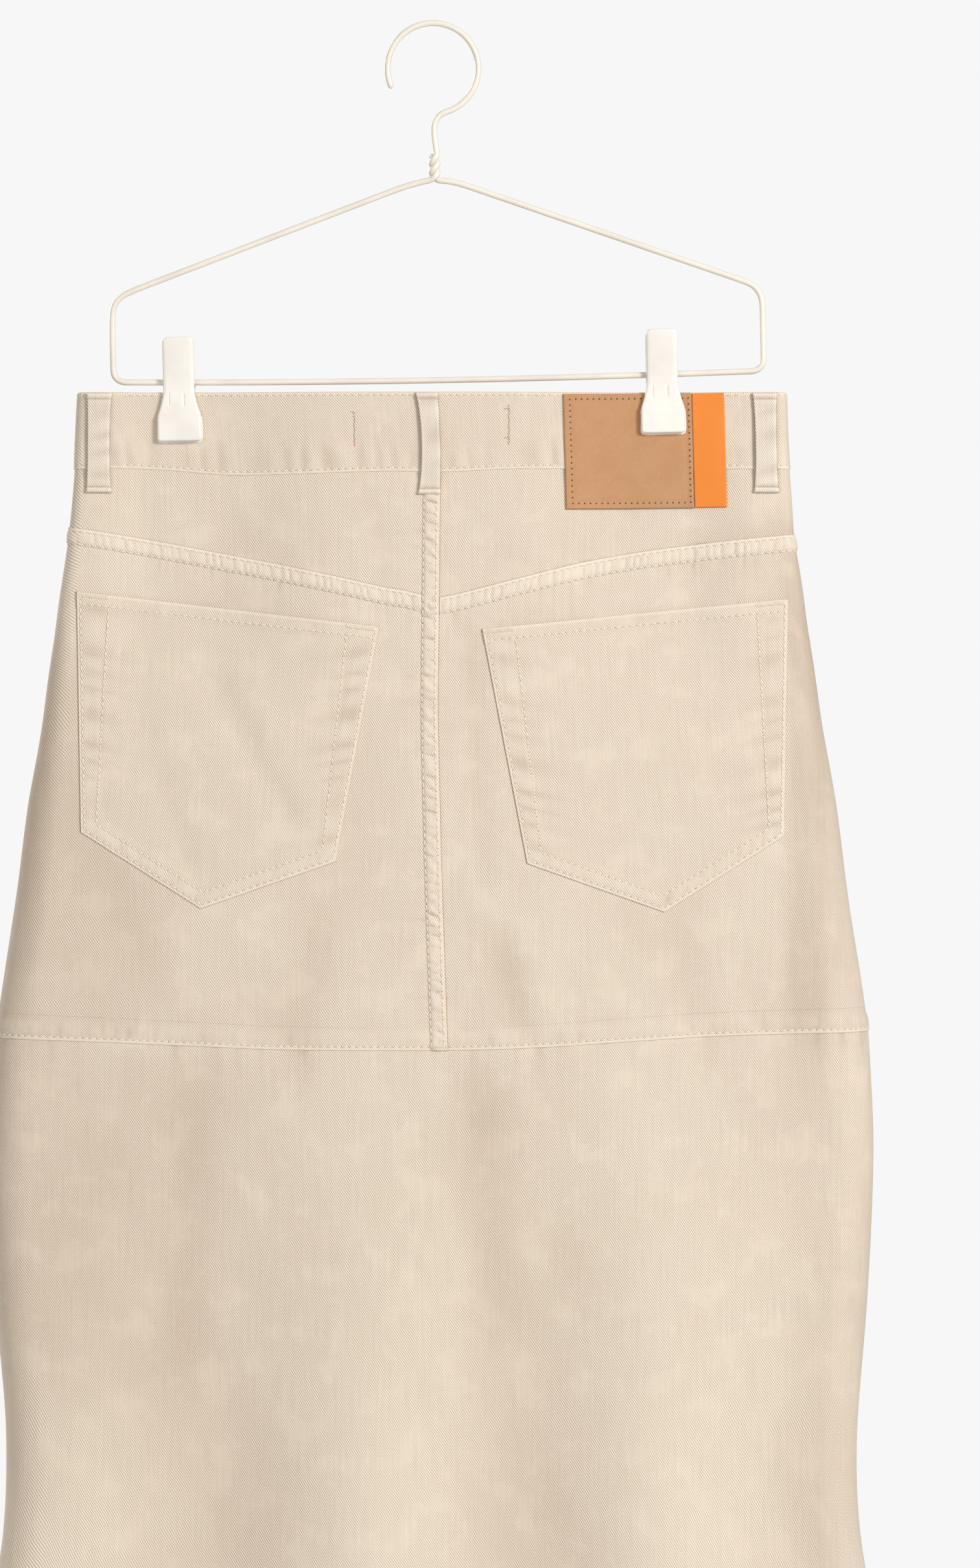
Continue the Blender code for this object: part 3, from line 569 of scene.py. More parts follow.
def yoke_band(x, z, part):
    """Distance below the yoke seam, and a band's height or its painted light and shade there."""
    t = yoke_seam(0, x) - z
    left, right = YOKE_TRAINS.values()
    train = Train(left.pitch, np.where(x < 0, left.seed, right.seed))
    return t, part(t, np.abs(x), train, 0.1)


def centre_band(x, z, part):
    """Distance left of the centre back fold, and a band's height or its painted light and shade
    there.
    """
    t = centre_fold(z) - x
    return t, part(t, -z, CENTRE_TRAIN, 0.25)


def fly_band(t, z, part):
    return np.where(t > AT_FOLD, part(np.maximum(t, 0), -z, FLY_TRAIN, 0.5), 0)


def yoke_rise(x, z):
    t, height = yoke_band(x, z, fell)
    return np.where(t >= 0, height, -0.2)


def centre_rope(x, z):
    """The slanting ridges that the pull of its rows twists into the centre back band."""
    t = centre_fold(z) - x
    return arch((t - 1.2) / (FELL_WIDTH - 1.0)) ** 0.6 * swell(-z + 0.9 * t, ROPE_TRAIN)


def centre_rise(x, z):
    t, height = centre_band(x, z, fell)
    return np.where(t >= 0, height + 0.3 * centre_rope(x, z), -0.2)


def pucker_beside(distance, along, train, reach=6.0, depth=0.34):
    """The creases that run on from a seam's band into the cloth beside it."""
    return depth * (gather(along, train) - 0.7) * fading(distance, reach)


def thigh_rise(q, x, z):
    """The upper part's turned edge over the thigh seam, with its one row."""
    over = z - thigh_seam(q, x)
    body = THIGH_RISE * mix(0.35, 1, rounded(over, 0.8)) * (1 - ease((over - 6) / 5))
    puckers = 0.22 * arch((over - EDGE_ROW) / 7) * (gather(x, THIGH_TRAIN) - 0.6)
    return body + puckers + groove(over - EDGE_ROW, 0.15) + pucker_beside(
        over - 6, x, OVER_THIGH, 7, 0.2)


def beyond_fly(x, z, reach):
    """Distance outside a row that runs down at a reach from the fly's fold and curves in."""
    low = np.maximum(FLY_TURN_Z - z, 0) * reach / FLY_FOOT
    return np.hypot(x - CENTRE_FRONT_FOLD, low) - reach


def back_puckers(x, z):
    """The creases that run out of the back's felled seams."""
    under_yoke, beside = yoke_seam(0, x) - z, centre_fold(z) - x
    total = np.where(under_yoke > 0, pucker_beside(under_yoke - FELL_WIDTH, x, UNDER_YOKE), 0)
    total += np.where(beside > 0, pucker_beside(beside - FELL_WIDTH, -z, BESIDE_CENTRE), 0)
    return total + np.where(beside < 0, pucker_beside(-beside, -z, BESIDE_CENTRE, 3.5, 0.12), 0)


def back_relief(q, x, z):
    """Height of the back panels' outer face over a plain wall, without the felled strips."""
    return creases(x, z) + thigh_rise(q, x, z) + back_puckers(x, z)


def side_shade(x, z):
    """Painted shade towards both sides, where the cloth turns away into its folds."""
    right = ease((x - 177) / 12) - 0.8 * ease((x - 198) / 10)
    right *= mix(0.22, 0.04, ease((-z - 320) / 35)) * ease((-z - 60) / 20)
    return -right - 0.15 * ease((-x - 112) / 45) * ease((-z - 110) / 60)


def panel_light_and_wear(q, x, z):
    """Painted light and shade on an upper panel: its turned lower edge painted pale (partly worn
    pale), painted highlights on the crowns of its folds, painted shade in its creases and towards
    its sides.
    """
    over = z - thigh_seam(q, x)
    puckers = 0.3 * (gather(x, THIGH_TRAIN) - 0.7) * bell(over - 5, 4)
    return 0.7 * bell(over - 0.6, 0.8) + puckers + 0.2 * creases(x, z) + side_shade(x, z)


# Painted light and shade of a back panel, with the puckers beside its felled seams painted pale on
# their humps and dark in their creases.
def back_light_and_wear(q, x, z):
    return panel_light_and_wear(q, x, z) + 1.6 * back_puckers(x, z)


# Painted light and shade of a front panel, with that of the fly's felled band.
def front_light_and_wear(q, x, z):
    return panel_light_and_wear(q, x, z) + fly_band(x - CENTRE_FRONT_FOLD, z, fell_light_and_wear)


def lower_light_and_wear(q, x, z):
    """Painted light and shade on a lower panel: its hem painted pale (partly worn pale), painted
    highlights on the crowns of its flutes and painted shade in their valleys and towards the sides.
    """
    under, up = thigh_seam(q, x) - z, z - hem(q, x)
    hemmed = 0.5 * bell(up - 0.7, 0.8) + 0.4 * (gather(x + up, HEM_TRAIN) - 0.7) * bell(up - 5, 4)
    return (0.2 * creases(x, z) + 1.2 * pucker_beside(under, x, UNDER_THIGH, 12, 0.3) + hemmed
            + 0.012 * flute(q, z) + side_shade(x, z) * ease((z + 700) / 200))


def waistband_ripple(x, above):
    """The upright puckers that the waist seam sends into the band."""
    return 0.26 * swell(x + 0.1 * above, BAND_TRAIN) * bell(above - 6, 9)


# Painted light and shade on the waistband: its top fold and lower edge painted pale (partly worn
# pale), its puckers painted light and dark.
def waistband_light_and_wear(q, x, z):
    below, above = waist_edge(q, x) - z, z - waist_seam(q, x)
    return (0.5 * bell(below - 0.9, 0.8) + 0.65 * bell(above - 0.6, 0.7)
            + 0.9 * waistband_ripple(x, above))


def front_relief(q, x, z):
    """The same for the fronts, with the fly's folded edge and its curved rows."""
    t = x - CENTRE_FRONT_FOLD
    height = 0.8 * creases(x, z) + thigh_rise(q, x, z) + fly_band(t, z, fell)
    height += 0.2 * (t > AT_FOLD)
    for reach in FLY_ROWS:
        height += groove(beyond_fly(x, z, reach)) * (t > BESIDE_FLY) * (z > FLY_TURN_Z - FLY_FOOT)
    inside = np.clip(beyond_fly(x, z, FLY_ROWS[1]) / (FLY_ROWS[1] - FLY_ROWS[0]), 0, 1)
    return height + 0.12 * inside * (gather(z, FACING_TRAIN) - 0.6) * (t > BESIDE_FLY)


def lower_relief(q, x, z):
    """The same for the lower panels, with the turned hem."""
    under, up = thigh_seam(q, x) - z, z - hem(q, x)
    hemmed = HEM_RISE * mix(0.3, 1, rounded(up, 0.8)) * (1 - ease((up - HEM_TURN) / 1.5))
    hemmed += groove(up - HEM_ROW, 0.15)
    hemmed += 0.3 * arch(up / HEM_ROW) * (gather(x + up, HEM_TRAIN) - 0.6)
    return creases(x, z) + pucker_beside(under, x, UNDER_THIGH, 12, 0.3) + hemmed


def waistband_face(q, x, z):
    """Height of the waistband's face over its middle surface."""
    below, above = waist_edge(q, x) - z, z - waist_seam(q, x)
    body = HALF_BAND * rounded(below, 1.2) * mix(0.6, 1, rounded(above, 0.7))
    rows = groove(below - EDGE_ROW) + groove(above - EDGE_ROW)
    humps = 0.12 * (gather(x, BAND_EDGE_TRAIN) - 0.6) * (bell(below - 1.2, 1) + bell(above - 2, 2))
    waves = 0.2 * np.sin(x / 17 + 0.4 * np.sin(z / 9)) * arch(below / WAISTBAND_WIDTH)
    return body + rows + (waistband_ripple(x, above) + waves + humps) * ease(below / 4)


def skin(q, z):
    """Height of the cloth's visible face over its middle surface."""
    x = middle(q, z)[..., 0]
    felled = np.maximum(yoke_rise(x, z), 0) + np.maximum(centre_rise(x, z), 0)
    upper = np.where(np.abs(q) <= 2, back_relief(q, x, z) + felled, front_relief(q, x, z))
    height = HALF_DENIM + np.where(z > thigh_seam(q, x), upper, lower_relief(q, x, z))
    return np.where(z > waist_seam(q, x), waistband_face(q, x, z), height)


# ---- panels -----------------------------------------------------------------------------
TUCK = ((0.0, 0.12, 1.0), (0.0, 1.7, 1.0))
# Tucked edges are painted dark: painted shade in the gaps between pieces.
TUCK_SHADE = -0.9
THINNEST = 1.0
WAISTBAND_WEAVE_TURN = -5.0
YOKE_PULL = 0.5
CENTRE_PULL = 2.6
# About how long or wide a panel is, where places near its edge become shares of it.
BACK_LENGTH = 232
FRONT_LENGTH = 282
FRONT_WIDTH = 208
LOWER_LENGTH = 521
# q of the line from which a front's weave is laid out.
FRONT_CENTRES = {"left": -3.0, "right": 3.0}
# Distances in mm from an edge, close together where its fold and its row lie.
FINE_TO_EDGE = np.concatenate([[0, 0.12, 0.3, 0.55, 0.8, 1.1, 1.4, 1.6, 1.8, 2.0, 2.2, 2.5],
                               steps(3.2, 11.2, 0.9)])
FINE_TO_HEM = np.concatenate([[0, 0.12, 0.3, 0.55, 0.8], steps(1.6, 9.2, 1.1),
                              [9.6, 9.8, 10, 10.2, 10.4, 10.8, 11.5, 12, 12.5, 13.0, 13.5]])
FELL_ACROSS = np.array([0, 0.05, 0.15, 0.3, 0.55, 0.85, 1.2, 1.5, 1.75, 2.0, 2.3, 2.8, 3.5, 4.3,
                        5.2, 6.1, 6.9, 7.6, 8.1, 8.4, 8.7, 9.0, 9.5, 10.2])


def stops(share_steps, tuck_start=False, tuck_end=False):
    """Rows of (share, shift in mm, tuck), with a tucked edge added where it is asked for."""
    rows = [(share, 0.0, 0.0) for share in share_steps]
    if tuck_start:
        rows = [(share_steps[0], -shift, tuck) for _, shift, tuck in reversed(TUCK)] + rows
    if tuck_end:
        rows += [(share_steps[-1], shift, tuck) for _, shift, tuck in TUCK]
    return np.array(rows)


def weave(q, z, centre, turn=0.0):
    """The flat cut's own places, in mm, with the grain upright at a centre line."""
    def length(height):
        return girth(q, height)[0] - girth(np.full(np.shape(q), centre), height)[0]

    u = length(z)
    widening = (length(z - 1.0) - length(z + 1.0)) / 2
    v = z + u * widening / 2
    return turned(u, v, math.radians(turn))


def panel(name, columns, rows, top, bottom, q_of, relief, light_and_wear, centre, replaced):
    """A cloth panel between two seams, its seam edges pressed and tucked."""
    row_share, row_shift, row_tuck = (rows[:, k][:, None] for k in range(3))
    share, shift, tuck = (columns[:, k][None, :] for k in range(3))

    def height_at(q, x):
        return mix(top(q, x), bottom(q, x), row_share) - row_shift

    start = np.zeros((len(rows), len(columns)))
    z = settled(lambda z: q_of(share, shift, z), height_at, start, 7)[2]
    q = q_of(share, shift, z)
    x = middle(q, z)[..., 0]
    tucked = np.maximum(tuck, row_tuck)
    height = HALF_DENIM + relief(q, x, z)
    outer = mix(height, 0.05, tucked)
    inner = mix(np.minimum(-HALF_DENIM, height - THINNEST), -0.35, tucked)
    # The outer face carries painted light and shade, with painted shade on tucked edges.
    return shell(name, seat(q, z, outer), seat(q, z, inner), "denim", replaced,
                 weave(q, z, centre), light_and_wear=mix(light_and_wear(q, x, z), TUCK_SHADE, tucked))


def back_q(side):
    """q of a column of a back panel: shares to 1 cross the face, to 2 go round the fold."""
    sign = SIGNS[side]

    def q_of(share, shift, z):
        face, fold, _ = section(z)
        start = centre_fold(z) * sign / face
        on_face = mix(start, 1.0, np.minimum(share, 1)) + np.where(share <= 1, shift / face, 0)
        on_fold = np.clip(share - 1, 0, 1) + np.where(share > 1, shift / (math.pi * fold), 0)
        return sign * (on_face + on_fold)

    return q_of


def front_q(side):
    """q of a column of a front panel, from the side seam to the centre front."""
    sign = SIGNS[side]

    def q_of(share, shift, z):
        face = section(z)[0]
        end = 3 - CENTRE_FRONT_FOLD * sign / face
        return sign * (mix(2.0, end, share) + shift / face)

    return q_of


def whole_back_q(share, shift, z):
    return share + shift / (math.pi * section(z)[1])


def lower_front_q(share, shift, z):
    return mix(2.0, 4.0, share) + shift / section(z)[0]


def waistband_wall(name, columns, q_of, centre, replaced):
    """One stretch of the doubled band, folded over at the top."""
    fine = np.array([0, 0.12, 0.3, 0.6, 1.0, 1.4]) / WAISTBAND_WIDTH
    inner_rows = steps(1.8, WAISTBAND_WIDTH - 2.6, 1.15) / WAISTBAND_WIDTH
    low = 1 - np.array([2.2, 1.8, 1.4, 1.0, 0.6, 0.3, 0.1, 0]) / WAISTBAND_WIDTH
    row_share = np.concatenate([fine, inner_rows, low])[:, None]
    share, shift, tuck = (columns[:, k][None, :] for k in range(3))

    def height_at(q, x):
        return mix(waist_edge(q, x), waist_seam(q, x), row_share)

    start = np.full((len(row_share), len(columns)), -WAISTBAND_WIDTH / 2)
    q, x, z = settled(lambda z: q_of(share, shift, z), height_at, start, 6)
    outer = mix(waistband_face(q, x, z), 0.2, tuck)
    inner = mix(-HALF_BAND * rounded(waist_edge(q, x) - z, 1.2), -0.4, tuck)
    shell(name, seat(q, z, outer), seat(q, z, inner), "denim", replaced,
          weave(q, z, centre, WAISTBAND_WEAVE_TURN), 70, waistband_light_and_wear(q, x, z))


def make_waistband():
    """One wall round the back and two on the front."""
    share = np.concatenate([steps(-2, -1, 0.07), steps(-1, 1, 0.0068)[1:], steps(1, 2, 0.07)[1:]])
    waistband_wall("waistband_back_cloth", stops(share), whole_back_q, 0.0,
                   ["waistband_back_left", "waistband_back_right"])
    share = steps(0, 1, 0.0085)
    for side in SIGNS:
        waistband_wall(f"waistband_front_{side}_cloth", stops(share, tuck_start=True),
                       front_q(side), FRONT_CENTRES[side], [f"waistband_front_{side}"])


def make_back_panels(side):
    """A yoke and the upper back panel below it."""
    across = np.concatenate([steps(0, 1, 0.0105), steps(1, 2, 0.032)[1:]])
    down = np.concatenate([steps(0, 0.952, 0.0085), 1 - FINE_TO_EDGE[::-1] / BACK_LENGTH])
    columns = stops(across, tuck_start=side == "right")
    panel(f"yoke_{side}_cloth", columns, stops(steps(0, 1, 0.034), True, True), waist_seam,
          yoke_seam, back_q(side), back_relief, back_light_and_wear, 0.0, [f"yoke_{side}"])
    panel(f"back_{side}_cloth", columns, stops(down), yoke_seam,
          thigh_seam, back_q(side), back_relief, back_light_and_wear, 0.0, [f"back_{side}"])


def make_front_panel(side):
    """An upper front, the right one fine towards the fly's fold, the left one tucked under."""
    across = steps(0, 1, 0.019)
    if side == "right":
        across = np.concatenate([steps(0, 0.94, 0.019), 1 - FINE_TO_EDGE[::-1] / FRONT_WIDTH])
    columns = stops(across, tuck_start=True, tuck_end=side == "left")
    down = np.concatenate([steps(0, 0.958, 0.0125), 1 - FINE_TO_EDGE[::-1] / FRONT_LENGTH])
    panel(f"front_{side}_cloth", columns, stops(down, tuck_start=True), waist_seam, thigh_seam,
          front_q(side), front_relief, front_light_and_wear, FRONT_CENTRES[side], [f"front_{side}"])


def make_upper_panels():
    for side in SIGNS:
        make_back_panels(side)
        make_front_panel(side)


def make_lower_panels():
    """The flared back and front below the thigh seam."""
    down = np.concatenate([steps(0, 0.06, 0.004), steps(0.06, 0.975, 0.0072)[1:],
                           1 - FINE_TO_HEM[::-1] / LOWER_LENGTH])
    rows = stops(down, True)
    share = np.concatenate([steps(-2, -1, 0.05), steps(-1, 1, 0.0155)[1:], steps(1, 2, 0.05)[1:]])
    panel("lower_back_cloth", stops(share), rows, thigh_seam, hem, whole_back_q,
          lower_relief, lower_light_and_wear, 0.0, ["lower_back"])
    panel("lower_front_cloth", stops(steps(0, 1, 0.01), True, True), rows, thigh_seam, hem,
          lower_front_q, lower_relief, lower_light_and_wear, 3.0, ["lower_front"])


# ---- felled strips ----------------------------------------------------------------------
# Where a yoke's band starts, from the centre back fold.
YOKE_FELL_STARTS = {"left": 1.0 - FELL_WIDTH, "right": 0.12}


def strip(name, q, z, rise, light_and_wear, train, pull):
    """A felled band's fine skin, which lies on its panel and has its far edge sunk in it."""
    x = middle(q, z)[..., 0]
    base = HALF_DENIM + back_relief(q, x, z)
    cloth = weave(q, z, 0.0)
    across = np.linspace(0, 1, q.shape[1])
    cloth[..., 1] += pull * arch(across) * (gather(-z + x, train) - 0.5)
    # Its outer face carries the band's painted light and shade.
    return shell(name, seat(q, z, base + rise(x, z)), seat(q, z, base - 0.25), "denim", (),
                 cloth, 65, light_and_wear(x, z))


def make_centre_fell():
    """The felled band down the centre back."""
    t = FELL_ACROSS[None, :]
    z = -steps(WAIST_SEAM[5].drop - 1.0, 339.6, 0.75)[:, None] + 0 * t
    # Painted light and shade on the band, with painted highlights and shade on its twisted ridges,
    # and the band a little darker overall.
    strip("centre_back_fell", q_on_back(centre_fold(z) - t, z), z,
          lambda x, z: centre_rise(x, z) + np.maximum(yoke_rise(x, z), 0),
          lambda x, z: centre_band(x, z, fell_light_and_wear)[1] + 0.25 * centre_rope(x, z) - 0.15,
          CENTRE_WEAVE, CENTRE_PULL)


def make_yoke_fell(side):
    """The felled band along a yoke's seam, from the centre back round the side's fold."""
    sign = SIGNS[side]
    t = FELL_ACROSS[None, :]
    reach, turn = steps(0, 1, 0.0033)[:, None] + 0 * t, steps(0, 1, 0.06)[1:, None] + 0 * t

    def q_at(z):
        on_face = z[:len(reach)]
        near = sign * (centre_fold(on_face) + YOKE_FELL_STARTS[side]) / section(on_face)[0]
        return sign * np.concatenate([mix(near, 1.0, reach), 1 + turn])

    start = np.full((len(reach) + len(turn), t.shape[1]), -90.0)
    q, _, z = settled(q_at, lambda q, x: yoke_seam(0, x) - t, start, 5)
    strip(f"yoke_{side}_fell", q, z, yoke_rise, lambda x, z: yoke_band(x, z, fell_light_and_wear)[1],
          YOKE_WEAVE[side], YOKE_PULL)


def make_fells():
    make_centre_fell()
    for side in SIGNS:
        make_yoke_fell(side)


# ---- what lies on the cloth -------------------------------------------------------------
# A pocket's corners: their distance from the centre line, and their drop.
Corner = namedtuple("Corner", "distance drop")
Pocket = namedtuple("Pocket", "side inner_top outer_top outer_bottom tip inner_bottom")
POCKETS = (
    Pocket("left", Corner(27.0, 121.8), Corner(183.5, 103.4), Corner(180.6, 227.6),
           Corner(118.6, 267.0), Corner(49.1, 242.8)),
    Pocket("right", Corner(25.8, 123.0), Corner(184.0, 107.3), Corner(181.3, 229.8),
           Corner(119.7, 268.8), Corner(49.0, 243.8)),
)
POCKET_EDGES = {
    "top": ("inner_top", "outer_top"),
    "outer": ("outer_top", "outer_bottom"),
    "foot_outer": ("outer_bottom", "tip"),
    "foot_inner": ("tip", "inner_bottom"),
    "inner": ("inner_bottom", "inner_top"),
}
POCKET_CLOTH = 0.65
POCKET_GAPE = 1.0
POCKET_HEM_ROW = 6.3
POCKET_FOOT_ROW = 7.6
POCKET_SIDE_ROW = (16.0, 8.0)
POCKET_GRAIN = {"left": 3.0, "right": -4.0}
POCKET_SEEDS = {"left": 1.1, "right": 4.3}
LAID = 0.03


def pocket_edge(pocket, edge):
    """An edge's start, and its unit direction square to it, into the pocket."""
    start, end = (getattr(pocket, name) for name in POCKET_EDGES[edge])
    way = unit(np.array([end.distance - start.distance, start.drop - end.drop]))
    return np.array([start.distance, -start.drop]), np.array([way[1], -way[0]])


def inside_edge(pocket, edge, x, z):
    """Distances of places inside one edge of a pocket."""
    start, inwards = pocket_edge(pocket, edge)
    return (np.abs(x) - start[0]) * inwards[0] + (z - start[1]) * inwards[1]


def pocket_corner(pocket, first, first_off, second, second_off):
    """Where two edges cross once each has moved in by its distance."""
    (a, n), (b, m) = pocket_edge(pocket, first), pocket_edge(pocket, second)
    return np.linalg.solve(np.array([n, m]), [n @ a + first_off, m @ b + second_off])


def pocket_reaches(pocket, x, z):
    """Distances inside a pocket's sides, foot and top, and its inner row's own distance."""
    inside = {edge: inside_edge(pocket, edge, x, z) for edge in POCKET_EDGES}
    sides = np.minimum(inside["outer"], inside["inner"])
    foot = np.minimum(inside["foot_outer"], inside["foot_inner"])
    side_row = mix(*POCKET_SIDE_ROW, np.clip(inside["top"] / 125, 0, 1))
    return sides, foot, inside["top"], side_row


def pocket_trains(pocket):
    """The trains of humps along a pocket's sides, its foot and its hem."""
    seed = POCKET_SEEDS[pocket.side]
    return Train(12.5, seed), Train(9.0, seed + 2), Train(10.0, seed + 5)


def pocket_puckers(pocket, x, z):
    """The humps and creases between a pocket's rows and beside them, in mm."""
    sides, foot, top, side_row = pocket_reaches(pocket, x, z)
    side_train, foot_train, hem_train = pocket_trains(pocket)
    side_humps = ease(foot / 8) * ease(top / 6) * swell(z + 0.2 * sides, side_train)
    hem_humps = gather(x, hem_train)
    side_window = arch((sides - EDGE_ROW) / (side_row - EDGE_ROW)) ** 0.5
    foot_window = arch((foot - EDGE_ROW) / (POCKET_FOOT_ROW - EDGE_ROW)) ** 0.7
    puckers = 0.24 * side_window * side_humps
    puckers += 0.6 * foot_window * (gather(x - 0.4 * foot, foot_train) - 0.62)
    puckers += 0.22 * arch(top / POCKET_HEM_ROW) * (hem_humps - 0.6)
    puckers += 0.16 * fading(sides - side_row, 9) * (sides > side_row) * side_humps
    under_hem = fading(top - POCKET_HEM_ROW, 7) * (top > POCKET_HEM_ROW)
    return puckers + 0.2 * under_hem * (hem_humps - 0.7)


def pocket_bulk(pocket, x, z):
    """Thickness of a pocket: its cloth, turned edges, hem, rows and puckers."""
    sides, foot, top, side_row = pocket_reaches(pocket, x, z)
    border = np.minimum(sides, foot)
    body = POCKET_CLOTH * mix(0.7, 1, rounded(np.minimum(border, top), 0.35))
    doubled = 0.25 * (1 - ease((border - 9) / 3)) * ease(border / 3)
    hemmed = 0.4 * (1 - ease((top - POCKET_HEM_ROW - 0.9) / 1.3))
    rows = groove(border - EDGE_ROW) + groove(top - POCKET_HEM_ROW)
    rows += groove(foot - POCKET_FOOT_ROW) * ease((sides - 6) / 2)
    rows += groove(sides - side_row) * ease((foot - 6) / 2) * ease((top - 5.5) / 1)
    return body + np.maximum(doubled, hemmed) + pocket_puckers(pocket, x, z) + rows


def pocket_light_and_wear(pocket, x, z):
    """Painted light and shade on a pocket: its edges painted pale (partly worn pale), painted
    highlights on its humps, painted shade in its creases, and painted shadow lines along its edges,
    darkest on the side away from the key lamp.
    """
    sides, foot, top, _ = pocket_reaches(pocket, x, z)
    edge = np.minimum(np.minimum(sides, foot), top)
    shaded = inside_edge(pocket, "inner" if pocket.side == "right" else "outer", x, z)
    puckers = np.clip(1.2 * pocket_puckers(pocket, x, z), -0.4, 0.4)
    shadow_line = -1.2 * bell(shaded, 0.25) - 0.5 * bell(edge, 0.2)
    return 0.6 * bell(edge - 0.9, 0.7) + puckers + shadow_line


def pocket_base(pocket, q, x, z):
    """Height at which a pocket's inner face lies, its mouth standing a little open."""
    top, left, right = (inside_edge(pocket, edge, x, z) for edge in ("top", "inner", "outer"))
    across = left / np.maximum(left + right, 1)
    gape = POCKET_GAPE * (1 - ease(top / 35)) * arch(across) ** 0.6
    under = np.minimum(yoke_seam(0, x) - FELL_WIDTH - 1 - z, 0)
    return skin(q, z + under) + LAID + gape


def near_edges(length, coarse):
    """Shares of a length, close together at both ends and coarser between."""
    near = np.concatenate([[0, 0.12, 0.3, 0.55, 0.8, 1.2, 1.5, 1.8, 2.1, 2.5],
                           steps(3.2, 18, 0.8)])
    half = np.concatenate([near, steps(18, length / 2, coarse)[1:]])
    return np.concatenate([half, length - half[-2::-1]]) / length


def make_pockets():
    """Two patch pockets with a pointed foot, each a fine grid between its edges."""
    for pocket in POCKETS:
        sign = SIGNS[pocket.side]
        s, t = near_edges(158, 3.0)[None, :], near_edges(135, 3.0)[:, None]
        part = np.where(s <= 0.5, s * 2, s * 2 - 1)

        def corner(name, key):
            return getattr(getattr(pocket, name), key)

        def blend(key):
            foot = np.where(s <= 0.5, mix(corner("inner_bottom", key), corner("tip", key), part),
                            mix(corner("tip", key), corner("outer_bottom", key), part))
            return mix(mix(corner("inner_top", key), corner("outer_top", key), s), foot, t)

        x, z = sign * blend("distance"), -blend("drop")
        q = q_on_back(x, z)
        base = pocket_base(pocket, q, x, z)
        cloth = turned(x, z, math.radians(POCKET_GRAIN[pocket.side]))
        shell(f"pocket_{pocket.side}_cloth", seat(q, z, base + pocket_bulk(pocket, x, z)),
              seat(q, z, base), "denim", [f"pocket_{pocket.side}"], cloth, 60,
              pocket_light_and_wear(pocket, x, z))


# Belt loops: their centre line on the back (or the front), width and length.
Loop = namedtuple("Loop", "name place x width drop_top drop_bottom lean bow")
BELT_LOOPS = (
    Loop("centre_back", "back", -2.1, 9.9, 0.6, 53.3, 1.3, 1.6),
    Loop("back_left", "back", -172.2, 11.2, 0.6, 52.2, -0.3, -0.3),
    Loop("back_right", "back", 172.4, 11.2, 0.6, 52.2, 0.9, 0.2),
    Loop("front_left", "front", -76.0, 11.2, 0.6, 52.2, 0.4, 0.3),
    Loop("front_right", "front", 76.0, 11.2, 0.6, 52.2, -0.4, -0.3),
)
LOOP_CLOTH = 1.5
LOOP_ARCH = 1.0
LOOP_FLARE = 1.0
LOOP_END = 5.5
LOOP_TACK = 3.1
LOOP_DENT_PITCH = 13.0


def loop_place(loop, across, t):
    """(q, z, x) of a place on a loop: across from -1 to 1, and t from its top to its foot."""
    end = np.abs(2 * t - 1)
    half = loop.width / 2 + LOOP_FLARE * end ** 3
    z = -mix(loop.drop_top, loop.drop_bottom, t) + 0 * across
    x = loop.x + half * across + loop.lean * (t - 0.5) + 4 * loop.bow * t * (1 - t)
    if loop.place == "back":
        return q_on_back(x, z), z, x
    z = z - FRONT_WAIST_DIP
    return q_on_front(x, z), z, x


def loop_base(loop, z, t):
    """Height of a loop's inner face, which touches the cloth at its two sewn ends."""
    drop = -z - (FRONT_WAIST_DIP if loop.place == "front" else 0)
    under = mix(HALF_BAND, HALF_DENIM, ease((drop - WAISTBAND_WIDTH - 1) / 6)) + 0.12
    return under + LOOP_ARCH * arch(t) ** 0.75


def loop_dents(loop, across, t):
    """The soft dents of a loop's strip, in mm."""
    at = t * (loop.drop_bottom - loop.drop_top) + 0.25 * across * loop.width / 2
    train = Train(LOOP_DENT_PITCH, 0.1 * loop.x + 0.9)
    return 0.16 * swell(at, train) * (1 + 0.6 * across)


def loop_reaches(loop, across, t):
    """Distances of places on a loop inside its sides and its ends."""
    length = loop.drop_bottom - loop.drop_top
    return (1 - np.abs(across)) * loop.width / 2, (0.5 - np.abs(t - 0.5)) * length


def loop_bulk(loop, across, t):
    """Thickness of a loop: its folded strip, rolled ends and soft dents."""
    side, end = loop_reaches(loop, across, t)
    body = LOOP_CLOTH * mix(0.35, 1, rounded(side, 0.8)) * mix(0.45, 1, rounded(end, 1.2))
    doubled = 0.4 * (1 - ease((end - LOOP_END) / 2)) * rounded(side, 1.0)
    doubled += 0.5 * bell(end - 1.3, 0.9) * rounded(side, 1.0)
    dents = loop_dents(loop, across, t) * ease(side / 1.5) * ease(end / 5)
    return body + doubled + groove(end - LOOP_TACK, 0.45, 0.8) + dents


def loop_light_and_wear(loop, across, t):
    """Painted light and shade on a loop, a little paler overall: painted highlights on its rims
    (partly worn pale), dents painted light and dark, painted shade in its bar tacks and a painted
    shadow along its sides.
    """
    side, end = loop_reaches(loop, across, t)
    rims = 0.4 * bell(side - 0.9, 0.6) + 0.6 * bell(end - 1.2, 0.9)
    dents = 2.0 * loop_dents(loop, across, t) * ease(end / 5)
    return 0.1 + rims + dents - 0.6 * bell(end - LOOP_TACK, 0.5) - 1.2 * bell(side, 0.22)


